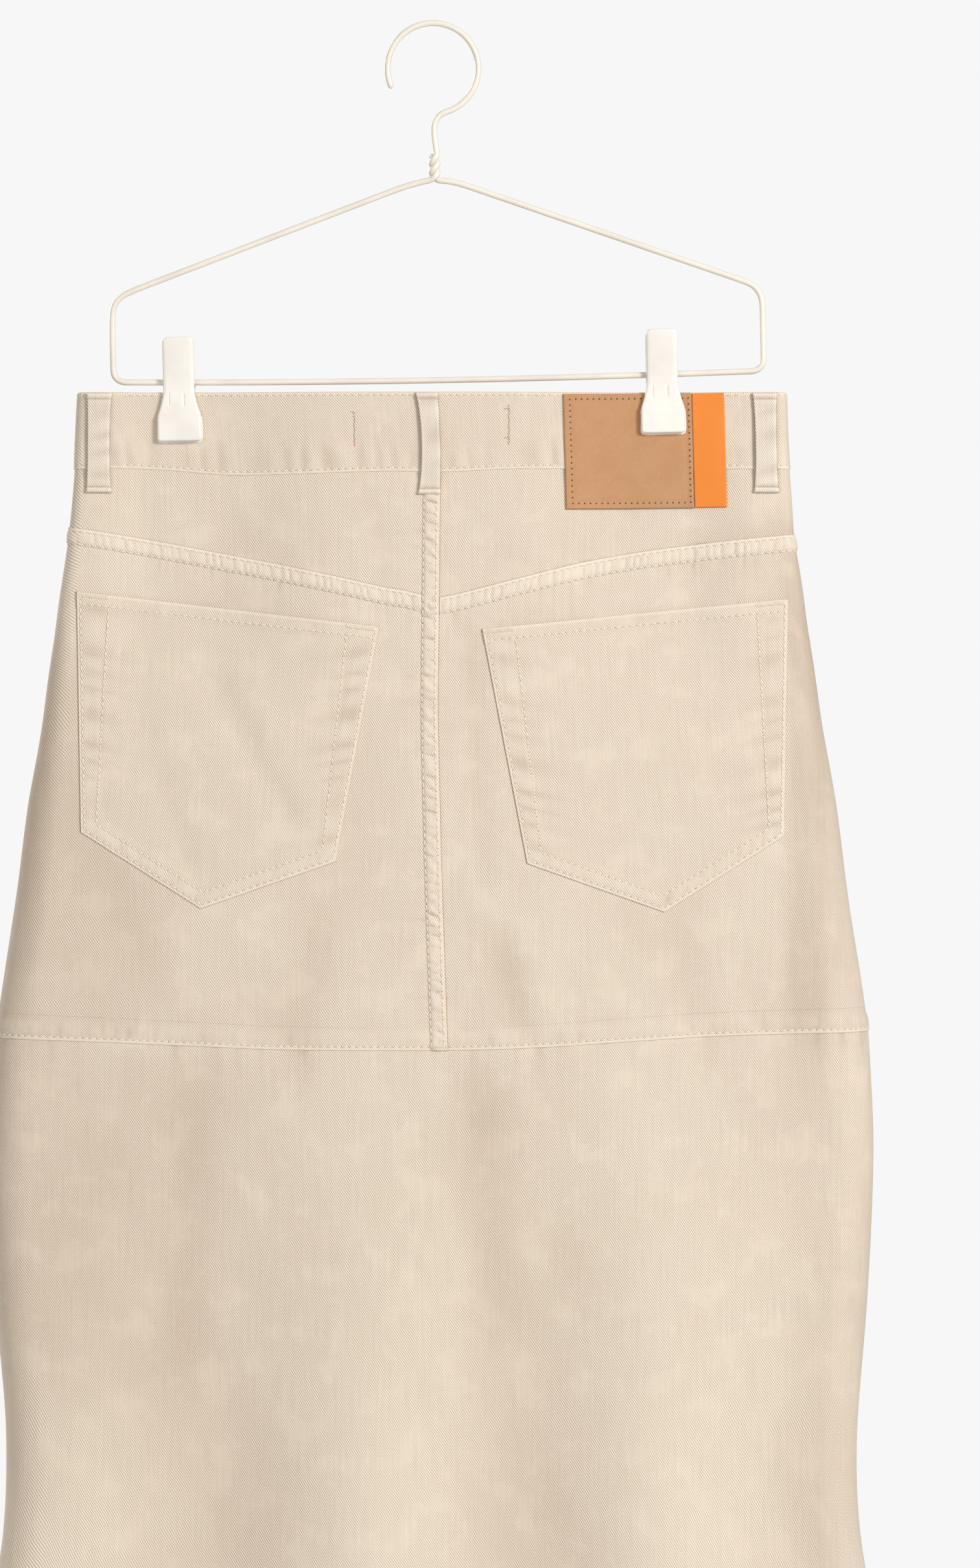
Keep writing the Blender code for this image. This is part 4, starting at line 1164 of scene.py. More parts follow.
def make_belt_loops():
    across = np.array([-1, -0.985, -0.94, -0.87, -0.78, -0.68, -0.6, -0.53, -0.46, -0.36, -0.24,
                       -0.12, 0])
    across = np.concatenate([across, -across[-2::-1]])[None, :]
    near = np.array([0, 0.15, 0.4, 0.8, 1.2, 1.6, 2.0, 2.4, 3.0])
    for loop in BELT_LOOPS:
        length = loop.drop_bottom - loop.drop_top
        t = fine_ends(near, length, 3.7, 0.75)[:, None] / length
        q, z, x = loop_place(loop, across, t)
        base = loop_base(loop, z, t)
        cloth = np.stack([x + 0 * z, z], -1)
        shell(f"belt_loop_{loop.name}_cloth", seat(q, z, base + loop_bulk(loop, across, t)),
              seat(q, z, base), "trim", [f"belt_loop_{loop.name}"], cloth, 60,
              loop_light_and_wear(loop, across, t))


# The waist patch and the strip beside it, on the back.
Patch = namedtuple("Patch", "name look left right drop_top drop_bottom thickness")
PATCHES = (
    Patch("waist_patch", "board", 67.6, 134.3, 1.1, 60.8, 1.1),
    Patch("patch_strip", "tape", 134.6, 151.2, 0.6, 59.8, 0.7),
)
PATCH_LEAN = 0.026
PATCH_ROW_INSET = 3.4
PATCH_PITCH = 3.0


def patch_place(patch, x, z):
    """Places on a patch that leans: x and z as on one that stands upright."""
    x = x + PATCH_LEAN * (-z - patch.drop_top)
    z = z + 0.012 * (x - patch.left)
    return q_on_back(x, z), z


def patch_base(z):
    """A stiff board's inner face, bridging the waistband's lower edge."""
    step = ease((-z - WAISTBAND_WIDTH + 2) / 12)
    return mix(HALF_BAND + 0.32, HALF_DENIM + 0.35, step) + 0.25 * step


def patch_bulk(patch, x, z):
    """Thickness of a patch, its edge soft and its rows pressed in where it is board."""
    side = np.minimum(x - patch.left, patch.right - x)
    border = np.minimum(side, np.minimum(-z - patch.drop_top, patch.drop_bottom + z))
    body = patch.thickness * mix(0.3, 1, rounded(border, 0.45))
    warp = 0.35 * np.sin((x - patch.left) / 23 + 0.6) * np.sin(-z / 19)
    pressed = groove(border - PATCH_ROW_INSET, 0.16, 0.9) if patch.look == "board" else 0
    return body + pressed + warp * ease(border / 6)


def make_patches():
    near = np.array([0, 0.08, 0.2, 0.45, 1.0, 2.0, 2.8, 3.4, 4.0])
    for patch in PATCHES:
        width, height = patch.right - patch.left, patch.drop_bottom - patch.drop_top
        x, z = np.meshgrid(patch.left + fine_ends(near, width, 5, 1.2),
                           -patch.drop_top - fine_ends(near, height, 5, 1.2))
        q, low = patch_place(patch, x, z)
        base = patch_base(low)
        shell(f"{patch.name}_piece", seat(q, low, base + patch_bulk(patch, x, z)),
              seat(q, low, base), patch.look, [patch.name], np.stack([x, z], -1), 60)


# ---- behind the fly, and the button -----------------------------------------------------
FLY_TOP = FRONT_WAIST_DIP + WAISTBAND_WIDTH + 1.5
FLY_LENGTH = 140.0
SHIELD_WIDTH = 40.0
ZIP_LENGTH = 132.0
ZIP_WIDTH = 26.0
ZIP_START = HALF_DENIM + SEAM_GAP
ZIP_THICKNESS = 1.0
ZIP_TAPE = 0.55
TOOTH_RADIUS = 0.36
TOOTH_PITCH = 1.3
BUTTON_RADIUS = 8.5
BUTTON_HEIGHT = 3.6
BUTTON_DROP = 34.0
BUTTON_X = 8.6
BUTTON_SIDES = 64
# The button's turned profile, as shares of its radius and height.
Ring = namedtuple("Ring", "radius height")
BUTTON_PROFILE = (
    Ring(0.02, 0.72),
    Ring(0.16, 0.71),
    Ring(0.30, 0.66),
    Ring(0.40, 0.62),
    Ring(0.45, 0.66),
    Ring(0.49, 0.67),
    Ring(0.53, 0.64),
    Ring(0.62, 0.66),
    Ring(0.70, 0.80),
    Ring(0.76, 0.93),
    Ring(0.83, 1.00),
    Ring(0.90, 0.98),
    Ring(0.96, 0.86),
    Ring(1.00, 0.66),
    Ring(1.00, 0.48),
    Ring(0.97, 0.32),
    Ring(0.88, 0.22),
    Ring(0.52, 0.18),
    Ring(0.50, 0.0),
    Ring(0.02, 0.0),
)


def fly_strip(name, width, length, start, thickness, look, replaced):
    """A strip behind the centre front, its faces at depths under the middle surface."""
    z = -FLY_TOP - steps(0, length, 2.0)[:, None]
    away = steps(-width / 2, width / 2, 1.3)[None, :]
    q = 3 + away / section(z)[0]
    border = np.minimum(width / 2 - np.abs(away), np.minimum(-FLY_TOP - z, length + FLY_TOP + z))
    wave = 0.12 * np.sin(z / 11 + 1) * rounded(border, 6)
    outer = seat(q, z, -start - 0.08 * (1 - rounded(border, 1.0)) + 0 * q)
    inner = seat(q, z, -start - thickness * mix(0.5, 1, rounded(border, 1.0)) + wave)
    return shell(name, outer, inner, look, replaced, np.stack([away + 0 * z, z + 0 * away], -1), 60)


def make_fly():
    """The shield, the zip's tape in front of it, and the closed teeth."""
    fly_strip("fly_shield_cloth", SHIELD_WIDTH, FLY_LENGTH, ZIP_START + ZIP_THICKNESS + SEAM_GAP,
              2 * HALF_DENIM, "trim", ["fly_shield"])
    fly_strip("fly_zip_tape", ZIP_WIDTH, ZIP_LENGTH, ZIP_START, ZIP_TAPE, "zip_tape",
              ["fly_zip"])
    at = -FLY_TOP - 3 - np.arange(0, ZIP_LENGTH - 6, TOOTH_PITCH)
    way = np.where(np.arange(len(at)) % 2, 1.0, -1.0)
    face = section(at)[0]
    ends = [seat(3 + way * reach / face, at, np.full(at.shape, -ZIP_START - 0.7))
            for reach in (-1.1, 2.4)]
    sew("fly_zip_teeth", [Sewn(*ends, square_out(3 + 0 * at, at))], "brass",
        TOOTH_RADIUS)


def make_button():
    """The waist button, turned about its own axis."""
    z = np.array([-BUTTON_DROP])
    q = q_on_front(np.array([BUTTON_X]), z)
    foot, out = seat(q, z, np.array([HALF_BAND + SEAM_GAP]))[0], square_out(q, z)[0]
    side = unit(np.cross(out, [0, 0, 1.0]))
    circle = around(side, np.cross(side, out), BUTTON_SIDES)
    rings = [foot + BUTTON_RADIUS * r.radius * circle + BUTTON_HEIGHT * r.height * out
             for r in BUTTON_PROFILE]
    loft("waist_button_metal", np.array(rings), "brass", ["waist_button"], 40)


# ---- the hanger and its clips -----------------------------------------------------------
WIRE = 1.55
HOOK_RADIUS = 23.55
HOOK_BEND = 9.0
HOOK_TIP = math.radians(205)
BAR_HALF_SPAN = 168.5
BAR_BOW = 1.9
CORNER_RADIUS = 6.0
UPRIGHT_HEIGHT = 35.0
SHOULDER_RADIUS = 12.0
ARM_SLOPE = math.radians(20.0)
NECK_SIDE = 4.0
NECK_ABOVE_ARMS = 12.0
NECK_TURNS = 1.5
TWIST_RADIUS = 1.6
TWIST_BELOW_ARMS = 2.0

# A clip's jaw, in levels down from the wire: half its width and its two faces.
Jaw = namedtuple("Jaw", "drop half_width inner outer")
JAW_ROWS = (
    Jaw(-23.0, 7.9, 7.1, 9.3),
    Jaw(-19.5, 8.1, 6.3, 9.0),
    Jaw(-12.0, 8.1, 4.4, 7.6),
    Jaw(-3.6, 8.1, 2.9, 6.4),
    Jaw(0.0, 8.1, 2.3, 6.1),
    Jaw(3.4, 8.1, 2.9, 5.9),
    Jaw(6.0, 8.2, 2.95, 5.9),
    Jaw(12.0, 9.5, 2.95, 6.0),
    Jaw(17.0, 11.1, 2.95, 6.1),
    Jaw(18.0, 11.3, 2.95, 6.7),
    Jaw(29.6, 11.4, 2.95, 6.7),
    Jaw(30.6, 11.4, 2.95, 6.6),
)
JAW_TOP, JAW_FOOT = JAW_ROWS[0].drop, JAW_ROWS[-1].drop
JAW_SIGNS = {"back": -1, "front": 1}
JAW_FLAT_REACH = 6.8
JAW_GROOVES = (-5.1, 2.6)
JAW_GROOVE_DROPS = (5.6, 12.6)
PAD_TOP = 17.6
PAD_HALF_WIDTH = 11.75
PAD_HALF_HEIGHT = 7.0
# A pad's rings: their distance from the cloth's middle, and how far they grow past its size.
PadRing = namedtuple("PadRing", "depth grow")
PAD_RINGS = (
    PadRing(2.62, -0.25),
    PadRing(2.68, 0),
    PadRing(2.9, 0.05),
    PadRing(3.02, -0.1),
)
CLIP_STACK_FOR_PATCH = 1.7
Leg = namedtuple("Leg", "height away")
SPRING_LEG = (
    Leg(2.7, 0.0),
    Leg(3.0, 1.1),
    Leg(3.9, 1.8),
    Leg(5.5, 2.2),
    Leg(11.0, 3.4),
    Leg(16.5, 4.75),
)
SPRING_THICKNESS = 0.7
SPRING_HALF_WIDTH = 4.0


def tilted(points):
    """Points of the upright hanger, in mm, after it has tilted about the hook."""
    x, y, z = np.moveaxis(np.asarray(points, float), -1, 0)
    c, s = math.cos(HANGER_TILT), math.sin(HANGER_TILT)
    return np.stack([x * c - z * s, y, x * s + z * c], -1)


def bar_z(x):
    return -BAR_BELOW_HOOK - BAR_BOW * (1 - (x / BAR_HALF_SPAN) ** 2)


def loft(name, rings, look, replaced=(), sharp=40):
    """A closed solid through rings of points, capped at both ends."""
    count, sides = rings.shape[:2]
    k, quads = np.arange(sides), ring_quads(count, sides)
    points = rings.reshape(-1, 3)
    centred = points - points.mean(0)
    a, b, c, d = (centred[quads[:, i]] for i in range(4))
    volume = (np.cross(a, b) * c).sum() + (np.cross(a, c) * d).sum()
    faces = quads.tolist() + [k.tolist(), (k[::-1] + (count - 1) * sides).tolist()]
    if volume < 0:
        faces = [face[::-1] for face in faces]
    return add_piece(name, points, faces, look, replaced, sharp=sharp)


def tube(name, path, radius, look, replaced=(), sides=16):
    """A round wire along a path, with domed ends."""
    path = np.asarray(path, float)
    gone = np.concatenate([[0], np.cumsum(np.linalg.norm(np.diff(path, axis=0), axis=1))])
    dome = radius * np.array([0, 0.15, 0.4, 0.7])
    at = np.concatenate([dome, gone[(gone > radius) & (gone < gone[-1] - radius)],
                         gone[-1] - dome[::-1]])
    path = np.stack([np.interp(at, gone, path[:, k]) for k in range(3)], -1)
    end = np.minimum(at, gone[-1] - at)
    wide = radius * np.maximum(np.sqrt(1 - (1 - np.clip(end / radius, 0, 1)) ** 2), 0.12)
    along = unit(np.gradient(path, axis=0))
    side = np.empty_like(path)
    ahead = np.array([0, 1.0, 0])
    for k, way in enumerate(along):
        ahead = unit(ahead - way * (way @ ahead))
        side[k] = ahead
    circle = around(side, np.cross(along, side), sides)
    return loft(name, path[:, None] + circle * wide[:, None, None], look, replaced, 60)


def arc(centre, radius, start, end):
    """Points of an arc in the hanger's plane, angles in radians from +X towards +Z."""
    angles = steps(start, end, math.radians(5))
    return np.stack([centre[0] + radius * np.cos(angles), 0 * angles,
                     centre[1] + radius * np.sin(angles)], -1)


def line(start, end, step=3.0):
    """Points of a straight stretch of wire."""
    start, end = np.array(start, float), np.array(end, float)
    share = steps(0, 1, step / np.linalg.norm(end - start))[:, None]
    return mix(start, end, share)


def softened(path, passes=14):
    """The path with its kinks worked out, its ends kept."""
    for _ in range(passes):
        path[1:-1] = path[1:-1] * 0.5 + (path[:-2] + path[2:]) * 0.25
    return path


def neck_twist(start, neck_z, neck_top):
    """One of the two wires that twist up the neck, from its starting angle."""
    rise = steps(0, 1, 0.02)
    turn = start + 2 * math.pi * NECK_TURNS * rise
    return np.stack([TWIST_RADIUS * np.cos(turn), TWIST_RADIUS * np.sin(turn),
                     mix(neck_z - TWIST_BELOW_ARMS, neck_top, rise)], -1)


def hook_path():
    """The hook from its tip, over the rail and down to the end of its bend."""
    centre_z = WIRE - HOOK_RADIUS
    bend_turn = math.acos(HOOK_BEND / (HOOK_RADIUS + HOOK_BEND))
    bend_centre = (HOOK_BEND, centre_z - (HOOK_RADIUS + HOOK_BEND) * math.sin(bend_turn))
    return np.concatenate([
        arc((0, centre_z), HOOK_RADIUS, HOOK_TIP, -bend_turn),
        arc(bend_centre, HOOK_BEND, math.pi - bend_turn, math.pi)[1:],
    ])


def make_hanger():
    """One wire: hook, twisted neck, left arm, bar, right arm and back into the twist."""
    corner_x = BAR_HALF_SPAN - CORNER_RADIUS
    corner_z = bar_z(corner_x) + CORNER_RADIUS
    shoulder_z = corner_z + UPRIGHT_HEIGHT - CORNER_RADIUS
    shoulder = (BAR_HALF_SPAN - SHOULDER_RADIUS, shoulder_z)
    shoulder_arc = arc(shoulder, SHOULDER_RADIUS, 0, math.pi / 2 - ARM_SLOPE)
    arm_start = shoulder_arc[-1]
    neck_z = arm_start[2] + (arm_start[0] - NECK_SIDE) * math.tan(ARM_SLOPE)
    neck_top = neck_z + NECK_ABOVE_ARMS

    side = np.concatenate([
        arc((corner_x, corner_z), CORNER_RADIUS, -math.pi / 2, 0),
        line((BAR_HALF_SPAN, 0, corner_z), (BAR_HALF_SPAN, 0, shoulder_z))[1:],
        shoulder_arc[1:],
        line(arm_start, (NECK_SIDE + 3, 0, neck_z - 3 * math.tan(ARM_SLOPE)))[1:],
    ])
    twist = [neck_twist(start, neck_z, neck_top) for start in (0, math.pi)]
    hook = hook_path()
    stem = line(hook[-1], (0, 0, neck_top + 5))[1:]
    mirror = np.array([-1, 1, 1])
    left = np.concatenate([twist[1][::-1], (side * mirror)[::-1]])
    right = np.concatenate([side, twist[0]])
    bar_x = steps(-corner_x, corner_x, 4.0)[1:-1]
    bar = np.stack([bar_x, 0 * bar_x, bar_z(bar_x)], -1)
    neck_and_left = softened(np.concatenate([stem, left]))
    path = np.concatenate([hook, neck_and_left, bar, softened(right, 6)])
    tube("hanger_wire", tilted(path), WIRE, "wire",
         ["hanger_bar", "hanger_upright_left", "hanger_upright_right", "hanger_arm_left",
          "hanger_arm_right", "hanger_neck", "hanger_hook"])


def round_off(distance, radius):
    """How far a rounded corner has drawn in at a distance from its end."""
    d = np.clip(distance, 0, radius)
    return radius - np.sqrt(np.maximum(radius ** 2 - (radius - d) ** 2, 0))


def jaw_ring(across, w, low, high, drop):
    """One level of a jaw as (x, y): a flat inner face and a crowned, grooved outer one."""
    r = min(1.3, 0.45 * (high - low))
    bend = np.radians([0, 18, 36, 54, 72, 90])
    flat = across * min(1.0, (w - r - 0.05) / JAW_FLAT_REACH)
    in_span = ease((drop - JAW_GROOVE_DROPS[0]) / 0.8) * ease((JAW_GROOVE_DROPS[1] - drop) / 0.8)
    dent = sum(0.55 * bell(flat - v, 0.22) for v in JAW_GROOVES) * in_span
    crown = high - 0.25 * (flat / w) ** 2 - dent
    right_x, right_y = w - r + r * np.cos(bend), high - 0.25 - r + r * np.sin(bend)
    return (np.concatenate([[-w + 0.3, -w], -right_x, flat, right_x[::-1], [w, w - 0.3]]),
            np.concatenate([[low, low + 0.3], right_y, crown, right_y[::-1], [low + 0.3, low]]))


def make_jaw(side, face, x, level, stack):
    """One jaw: a lever over the wire and a wider foot on the waist, its edges rounded."""
    near = np.array([0, 0.06, 0.18, 0.36, 0.6, 0.9, 1.3, 1.7, 2.2])
    drops = JAW_TOP + fine_ends(near, JAW_FOOT - JAW_TOP, 3, 0.7)
    from_top, from_foot = drops - JAW_TOP, JAW_FOOT - drops
    half, inner, outer = (read(JAW_ROWS, key, drops) for key in Jaw._fields[1:])
    half = half - round_off(from_top, 2.4) - round_off(from_foot, 1.6)
    thin = round_off(np.minimum(from_top, from_foot), 0.8)
    shift = stack * ease((drops - 1.5) / 5)
    inner, outer = inner + 0.3 * thin + shift, outer - thin + shift
    across = [v + d for v in JAW_GROOVES for d in (-0.5, -0.28, -0.1, 0.1, 0.28, 0.5)]
    across = np.sort(across + [-6.7, -6.1, -3.4, -2, -0.6, 0.8, 4.0, 5.4, 6.7])
    rings = []
    for drop, w, low, high in zip(drops, half, inner, outer):
        xs, ys = jaw_ring(across, w, low, high, drop)
        rings.append(tilted(np.stack([x + xs, JAW_SIGNS[face] * ys, level - drop + 0 * xs], -1)))
    loft(f"clip_{side}_{face}_jaw_moulded", np.array(rings), "plastic",
         [f"clip_{side}_{face}_jaw"], 50)


def make_pad(side, face, x, level, stack):
    """The soft pad under a jaw's foot, a rounded square with a slightly ragged rim."""
    turn = 2 * math.pi * np.arange(96) / 96
    box_x, box_z = (np.sign(v) * np.abs(v) ** 0.22 for v in (np.cos(turn), np.sin(turn)))
    ragged = 0.10 * np.sin(11 * turn + 2) + 0.07 * np.sin(23 * turn + x)
    rings = []
    for depth, grow in PAD_RINGS:
        xs = (PAD_HALF_WIDTH + grow + ragged) * box_x + 0.15
        zs = (PAD_HALF_HEIGHT + grow + ragged) * box_z - (PAD_TOP + JAW_FOOT + 0.9) / 2
        y = JAW_SIGNS[face] * (depth + stack)
        rings.append(tilted(np.stack([x + xs, y + 0 * xs, level + zs], -1)))
    loft(f"clip_{side}_{face}_pad", np.array(rings), "pad", (), 40)


def make_spring(side, x, level):
    """A bent leaf between the two levers, standing on the wire."""
    heights = np.concatenate([steps(2.7, 3.9, 0.15), steps(3.9, 16.5, 0.8)[1:]])
    away = read(SPRING_LEG, "away", heights)
    path_y = np.concatenate([-away[::-1], away[1:]])
    path_z = np.concatenate([heights[::-1], heights[1:]])
    along = unit(np.stack([np.gradient(path_y), np.gradient(path_z)], -1))
    wide = SPRING_HALF_WIDTH * np.array([-1, -0.97, 0, 0.97, 1])[None, :]
    skins = []
    for way in (0.5, -0.5):
        y = (path_y - along[:, 1] * way * SPRING_THICKNESS)[:, None] + 0 * wide
        z = (level + path_z + along[:, 0] * way * SPRING_THICKNESS)[:, None] + 0 * wide
        skins.append(tilted(np.stack([x + wide + 0 * y, y, z], -1)))
    shell(f"clip_{side}_spring_leaf", *skins, "steel", [f"clip_{side}_spring"], sharp=40)


def make_clips():
    """Both clips, the right one's back jaw standing off by the patch that it grips."""
    for side, x in CLIP_PLACES.items():
        for face in JAW_SIGNS:
            stack = CLIP_STACK_FOR_PATCH if (side, face) == ("right", "back") else 0.0
            make_jaw(side, face, x, bar_z(x), stack)
            make_pad(side, face, x, bar_z(x), stack)
        make_spring(side, x, bar_z(x))


# ---- stitches ---------------------------------------------------------------------------
Sewn = namedtuple("Sewn", "starts ends outs")
STITCH_PITCH = 3.7
STITCH_SHARE = 0.86
STITCH_SLANT = 0.13
THREAD_RADIUS = 0.45
HOLE_RADIUS = 0.27
TACK_PITCH = 0.72
FINE_THREAD_RADIUS = 0.2
BROWN_THREAD_RADIUS = 0.22
BOARD_HOLE_RADIUS = 0.46
# Bar tacks on the waistband's back, their turn in degrees from level.
WaistTack = namedtuple("WaistTack", "x z length turn wide pitch")
WAIST_TACKS = (
    WaistTack(-40.1, -18.2, 15.0, 90, 0.9, 0.8),
    WaistTack(-41.0, -10.6, 1.6, 0, 0.6, 0.7),
    WaistTack(39.7, -17.3, 20.0, 90, 0.9, 0.8),
    WaistTack(38.6, -9.2, 2.2, 0, 0.6, 0.7),
    WaistTack(38.6, -24.2, 2.2, 0, 0.6, 0.7),
)
WAIST_TACK_END = WaistTack(-40.1, -27.0, 2.4, 90, 0.9, 0.8)
# A stitch's rings: share of its length, lift and width in radii.
ThreadRing = namedtuple("ThreadRing", "along lift width")
THREAD_RINGS = (
    ThreadRing(0.0, -0.8, 0.4),
    ThreadRing(0.12, -0.1, 0.85),
    ThreadRing(0.5, 0.1, 1.0),
    ThreadRing(0.88, -0.1, 0.85),
    ThreadRing(1.0, -0.8, 0.4),
)
HOLE_RINGS = (
    ThreadRing(0.0, 0.2, 0.6),
    ThreadRing(0.5, 0.4, 1.0),
    ThreadRing(1.0, 0.2, 0.6),
)


def row(q, z, face, pitch=STITCH_PITCH):
    """The stitches along a row of places, whose face stands at the given heights."""
    q, z, face = np.broadcast_arrays(q, z, face)
    points = seat(q, z, face)
    gone = np.concatenate([[0], np.cumsum(np.linalg.norm(np.diff(points, axis=0), axis=1))])
    at = np.linspace(0, gone[-1], max(1, round(gone[-1] / pitch)) + 1)
    trim = (at[1] - at[0]) * (1 - STITCH_SHARE) / 2

    def point(distance):
        return np.stack([np.interp(distance, gone, points[:, k]) for k in range(3)], -1)

    half_way = (at[1:] + at[:-1]) / 2
    outs = square_out(np.interp(half_way, gone, q), np.interp(half_way, gone, z))
    starts, ends = point(at[:-1] + trim), point(at[1:] - trim)
    slant = STITCH_SLANT * np.cross(outs, unit(ends - starts))
    return Sewn(starts - slant, ends + slant, outs)


def holes_of(sewn, share=0.5, sink=0.12):
    """Dark marks at the needle holes between a row's stitches, sunk in the cloth: painted shade
    where the thread dips in.
    """
    starts, ends, outs = sewn
    if len(starts) < 2:
        return []
    lead, follow = ends[:-1], starts[1:]
    spot = (lead + follow) / 2 - sink * outs[:-1]
    reach = share * (follow - lead)
    return [Sewn(spot - reach, spot + reach, outs[:-1])]


def across_ends(ends):
    """Stitches between two rows of (q, z, height)."""
    (q0, z0, face0), (q1, z1, face1) = ends
    outs = square_out((q0 + q1) / 2, (z0 + z1) / 2)
    return Sewn(seat(q0, z0, face0), seat(q1, z1, face1), outs)


def tack(x, z, length, turn, place, wide=1.9, pitch=TACK_PITCH):
    """A bar tack: short threads side by side along a line, centred on (x, z).

    place gives (q, z, face) for any x and z. turn is the line's angle from level.
    """
    away = np.arange(-length / 2, length / 2 + 0.01, pitch)
    sway = 0.18 * np.sin(7.3 * np.arange(len(away)) + x)
    along, over = (math.cos(turn), math.sin(turn)), (-math.sin(turn), math.cos(turn))
    ends = []
    for reach in (-wide / 2, wide / 2):
        shift = reach + sway
        slant = away + 0.12 * np.sign(reach)
        ends.append(place(x + slant * along[0] + shift * over[0],
                          z + slant * along[1] + shift * over[1]))
    return across_ends(ends)


def sew(name, sewn, look="thread", radius=THREAD_RADIUS, on=None, shape=THREAD_RINGS, sides=5):
    """One mesh of raised threads from lists of stitches. on names the cloth they go with."""
    starts, ends, outs = (np.concatenate(parts) for parts in zip(*sewn))
    share, lift, width = np.array(shape).T
    along = ends - starts
    circle = around(unit(np.cross(along, outs)), outs, sides)
    centre = (starts[:, None] + along[:, None] * share[:, None]
              + outs[:, None] * (radius * lift)[:, None])
    points = centre[:, :, None] + circle[:, None] * (radius * width)[:, None, None]
    rings, k = len(shape), np.arange(sides)
    first = np.arange(len(starts))[:, None, None] * rings * sides
    faces = (first + ring_quads(rings, sides)).reshape(-1, 4).tolist()
    caps = np.stack([k, (rings - 1) * sides + k[::-1]])
    faces += (first + caps).reshape(-1, sides).tolist()
    piece = add_piece(name, points.reshape(-1, 3), faces, look, sharp=80)
    if on:
        TRIMS.setdefault(on, []).append(piece)
    return piece


def sew_rows(name, rows, tacks=(), on=None):
    """Topstitch rows and bar tacks in the cloth's own thread, with dark marks at their needle holes
    as painted shade.
    """
    sew(f"{name}_stitches", list(rows) + list(tacks), on=on)
    holes = [hole for stitches in rows for hole in holes_of(stitches)]
    sew(f"{name}_holes", holes, "needle_hole_shade", HOLE_RADIUS, on, HOLE_RINGS, 4)


def on_back(x, z):
    """(q, z, height) of places on the back's visible face."""
    q = q_on_back(x, z)
    return q, z, skin(q, z)


def skin_row(q, z):
    return row(q, z, skin(q, z))


def follow(q, edge, offset, start):
    """Heights of a row that keeps an offset from an edge, found from a starting height."""
    return settled(lambda z: q, lambda q, x: edge(q, x) + offset, np.full(q.shape, start), 4)[2]


def waist_rows(q_from, q_to):
    """The waistband's two rows over a stretch of the girth."""
    q = np.linspace(q_from, q_to, int(abs(q_to - q_from) * 400) + 2)
    return [skin_row(q, follow(q, edge, way * EDGE_ROW, -WAISTBAND_WIDTH / 2))
            for edge, way in ((waist_edge, -1), (waist_seam, 1))]


def waist_tack(mark):
    turn = math.radians(mark.turn)
    return tack(mark.x, mark.z, mark.length, turn, on_back, mark.wide, mark.pitch)


def make_waist_stitches():
    """The waistband's rows and bar tacks. Under the board only the upper row is sewn."""
    sewn = []
    for start, end in ((-1.98, -0.99), (-0.9, -0.045), (0.03, 0.36), (0.835, 0.9), (0.985, 1.98)):
        sewn += waist_rows(start, end)
    sewn.append(waist_rows(0.36, 0.835)[0])
    on = "waistband_back_cloth"
    sew_rows("waist", sewn, on=on)
    sew("waist_tacks", [waist_tack(mark) for mark in WAIST_TACKS], "brown_thread",
        BROWN_THREAD_RADIUS, on)
    sew("waist_tack_end", [waist_tack(WAIST_TACK_END)], "red_thread", BROWN_THREAD_RADIUS, on)
    sew_rows("front_left_waist", waist_rows(-2.02, -2.97), on="waistband_front_left_cloth")
    sew_rows("front_right_waist", waist_rows(2.02, 3.015), on="waistband_front_right_cloth")


def make_yoke_stitches(side):
    sign = SIGNS[side]
    start = centre_fold(-107) + (0.8 if side == "right" else -FELL_WIDTH - 0.6)
    x = sign * np.linspace(6, 208, 400)
    x = x[sign * x > sign * start]
    rows = []
    for t in (EDGE_ROW, FELL_WIDTH):
        z = yoke_seam(0, x) - t
        face, fold, _ = section(z)
        keep = np.abs(x) < face + fold * 0.97
        rows.append(skin_row(q_on_back(x[keep], z[keep]), z[keep]))
    sew_rows(f"yoke_{side}", rows, on=f"back_{side}_cloth")


def make_centre_stitches():
    """The centre back's two rows, and the bar tack at their foot."""
    z, foot = np.linspace(-43, -338.5, 900), -337.5
    rows = [skin_row(q_on_back(centre_fold(z) - t, z), z) for t in (EDGE_ROW + 0.3, FELL_WIDTH)]
    end = tack(centre_fold(foot) - 4.5, foot, 8.5, 0.0, on_back, 1.8)
    sew_rows("centre_back", rows, [end], "back_left_cloth")


def make_thigh_and_hem_stitches(face, q, upper):
    thigh = skin_row(q, follow(q, thigh_seam, EDGE_ROW, -335.0))
    sew_rows(f"thigh_{face}", [thigh], on=upper)
    turned_up = skin_row(q, follow(q, hem, HEM_ROW, -850.0))
    sew_rows(f"hem_{face}", [turned_up], on=f"lower_{face}_cloth")


def make_fly_stitches():
    """The two rows of the fly's felled fold, and the two that curve in below it."""
    z = np.linspace(-56, -328, 800)
    rows = [skin_row(q_on_front(CENTRE_FRONT_FOLD + t, z), z) for t in (EDGE_ROW, FELL_WIDTH)]
    turn = np.linspace(0, math.radians(78), 60)
    z = np.concatenate([np.linspace(-56, FLY_TURN_Z, 300), FLY_TURN_Z - FLY_FOOT * np.sin(turn)])
    for reach in FLY_ROWS:
        x = np.concatenate([np.full(300, reach), reach * np.cos(turn)]) + CENTRE_FRONT_FOLD
        rows.append(skin_row(q_on_front(x, z), z))
    sew_rows("fly", rows, on="front_right_cloth")


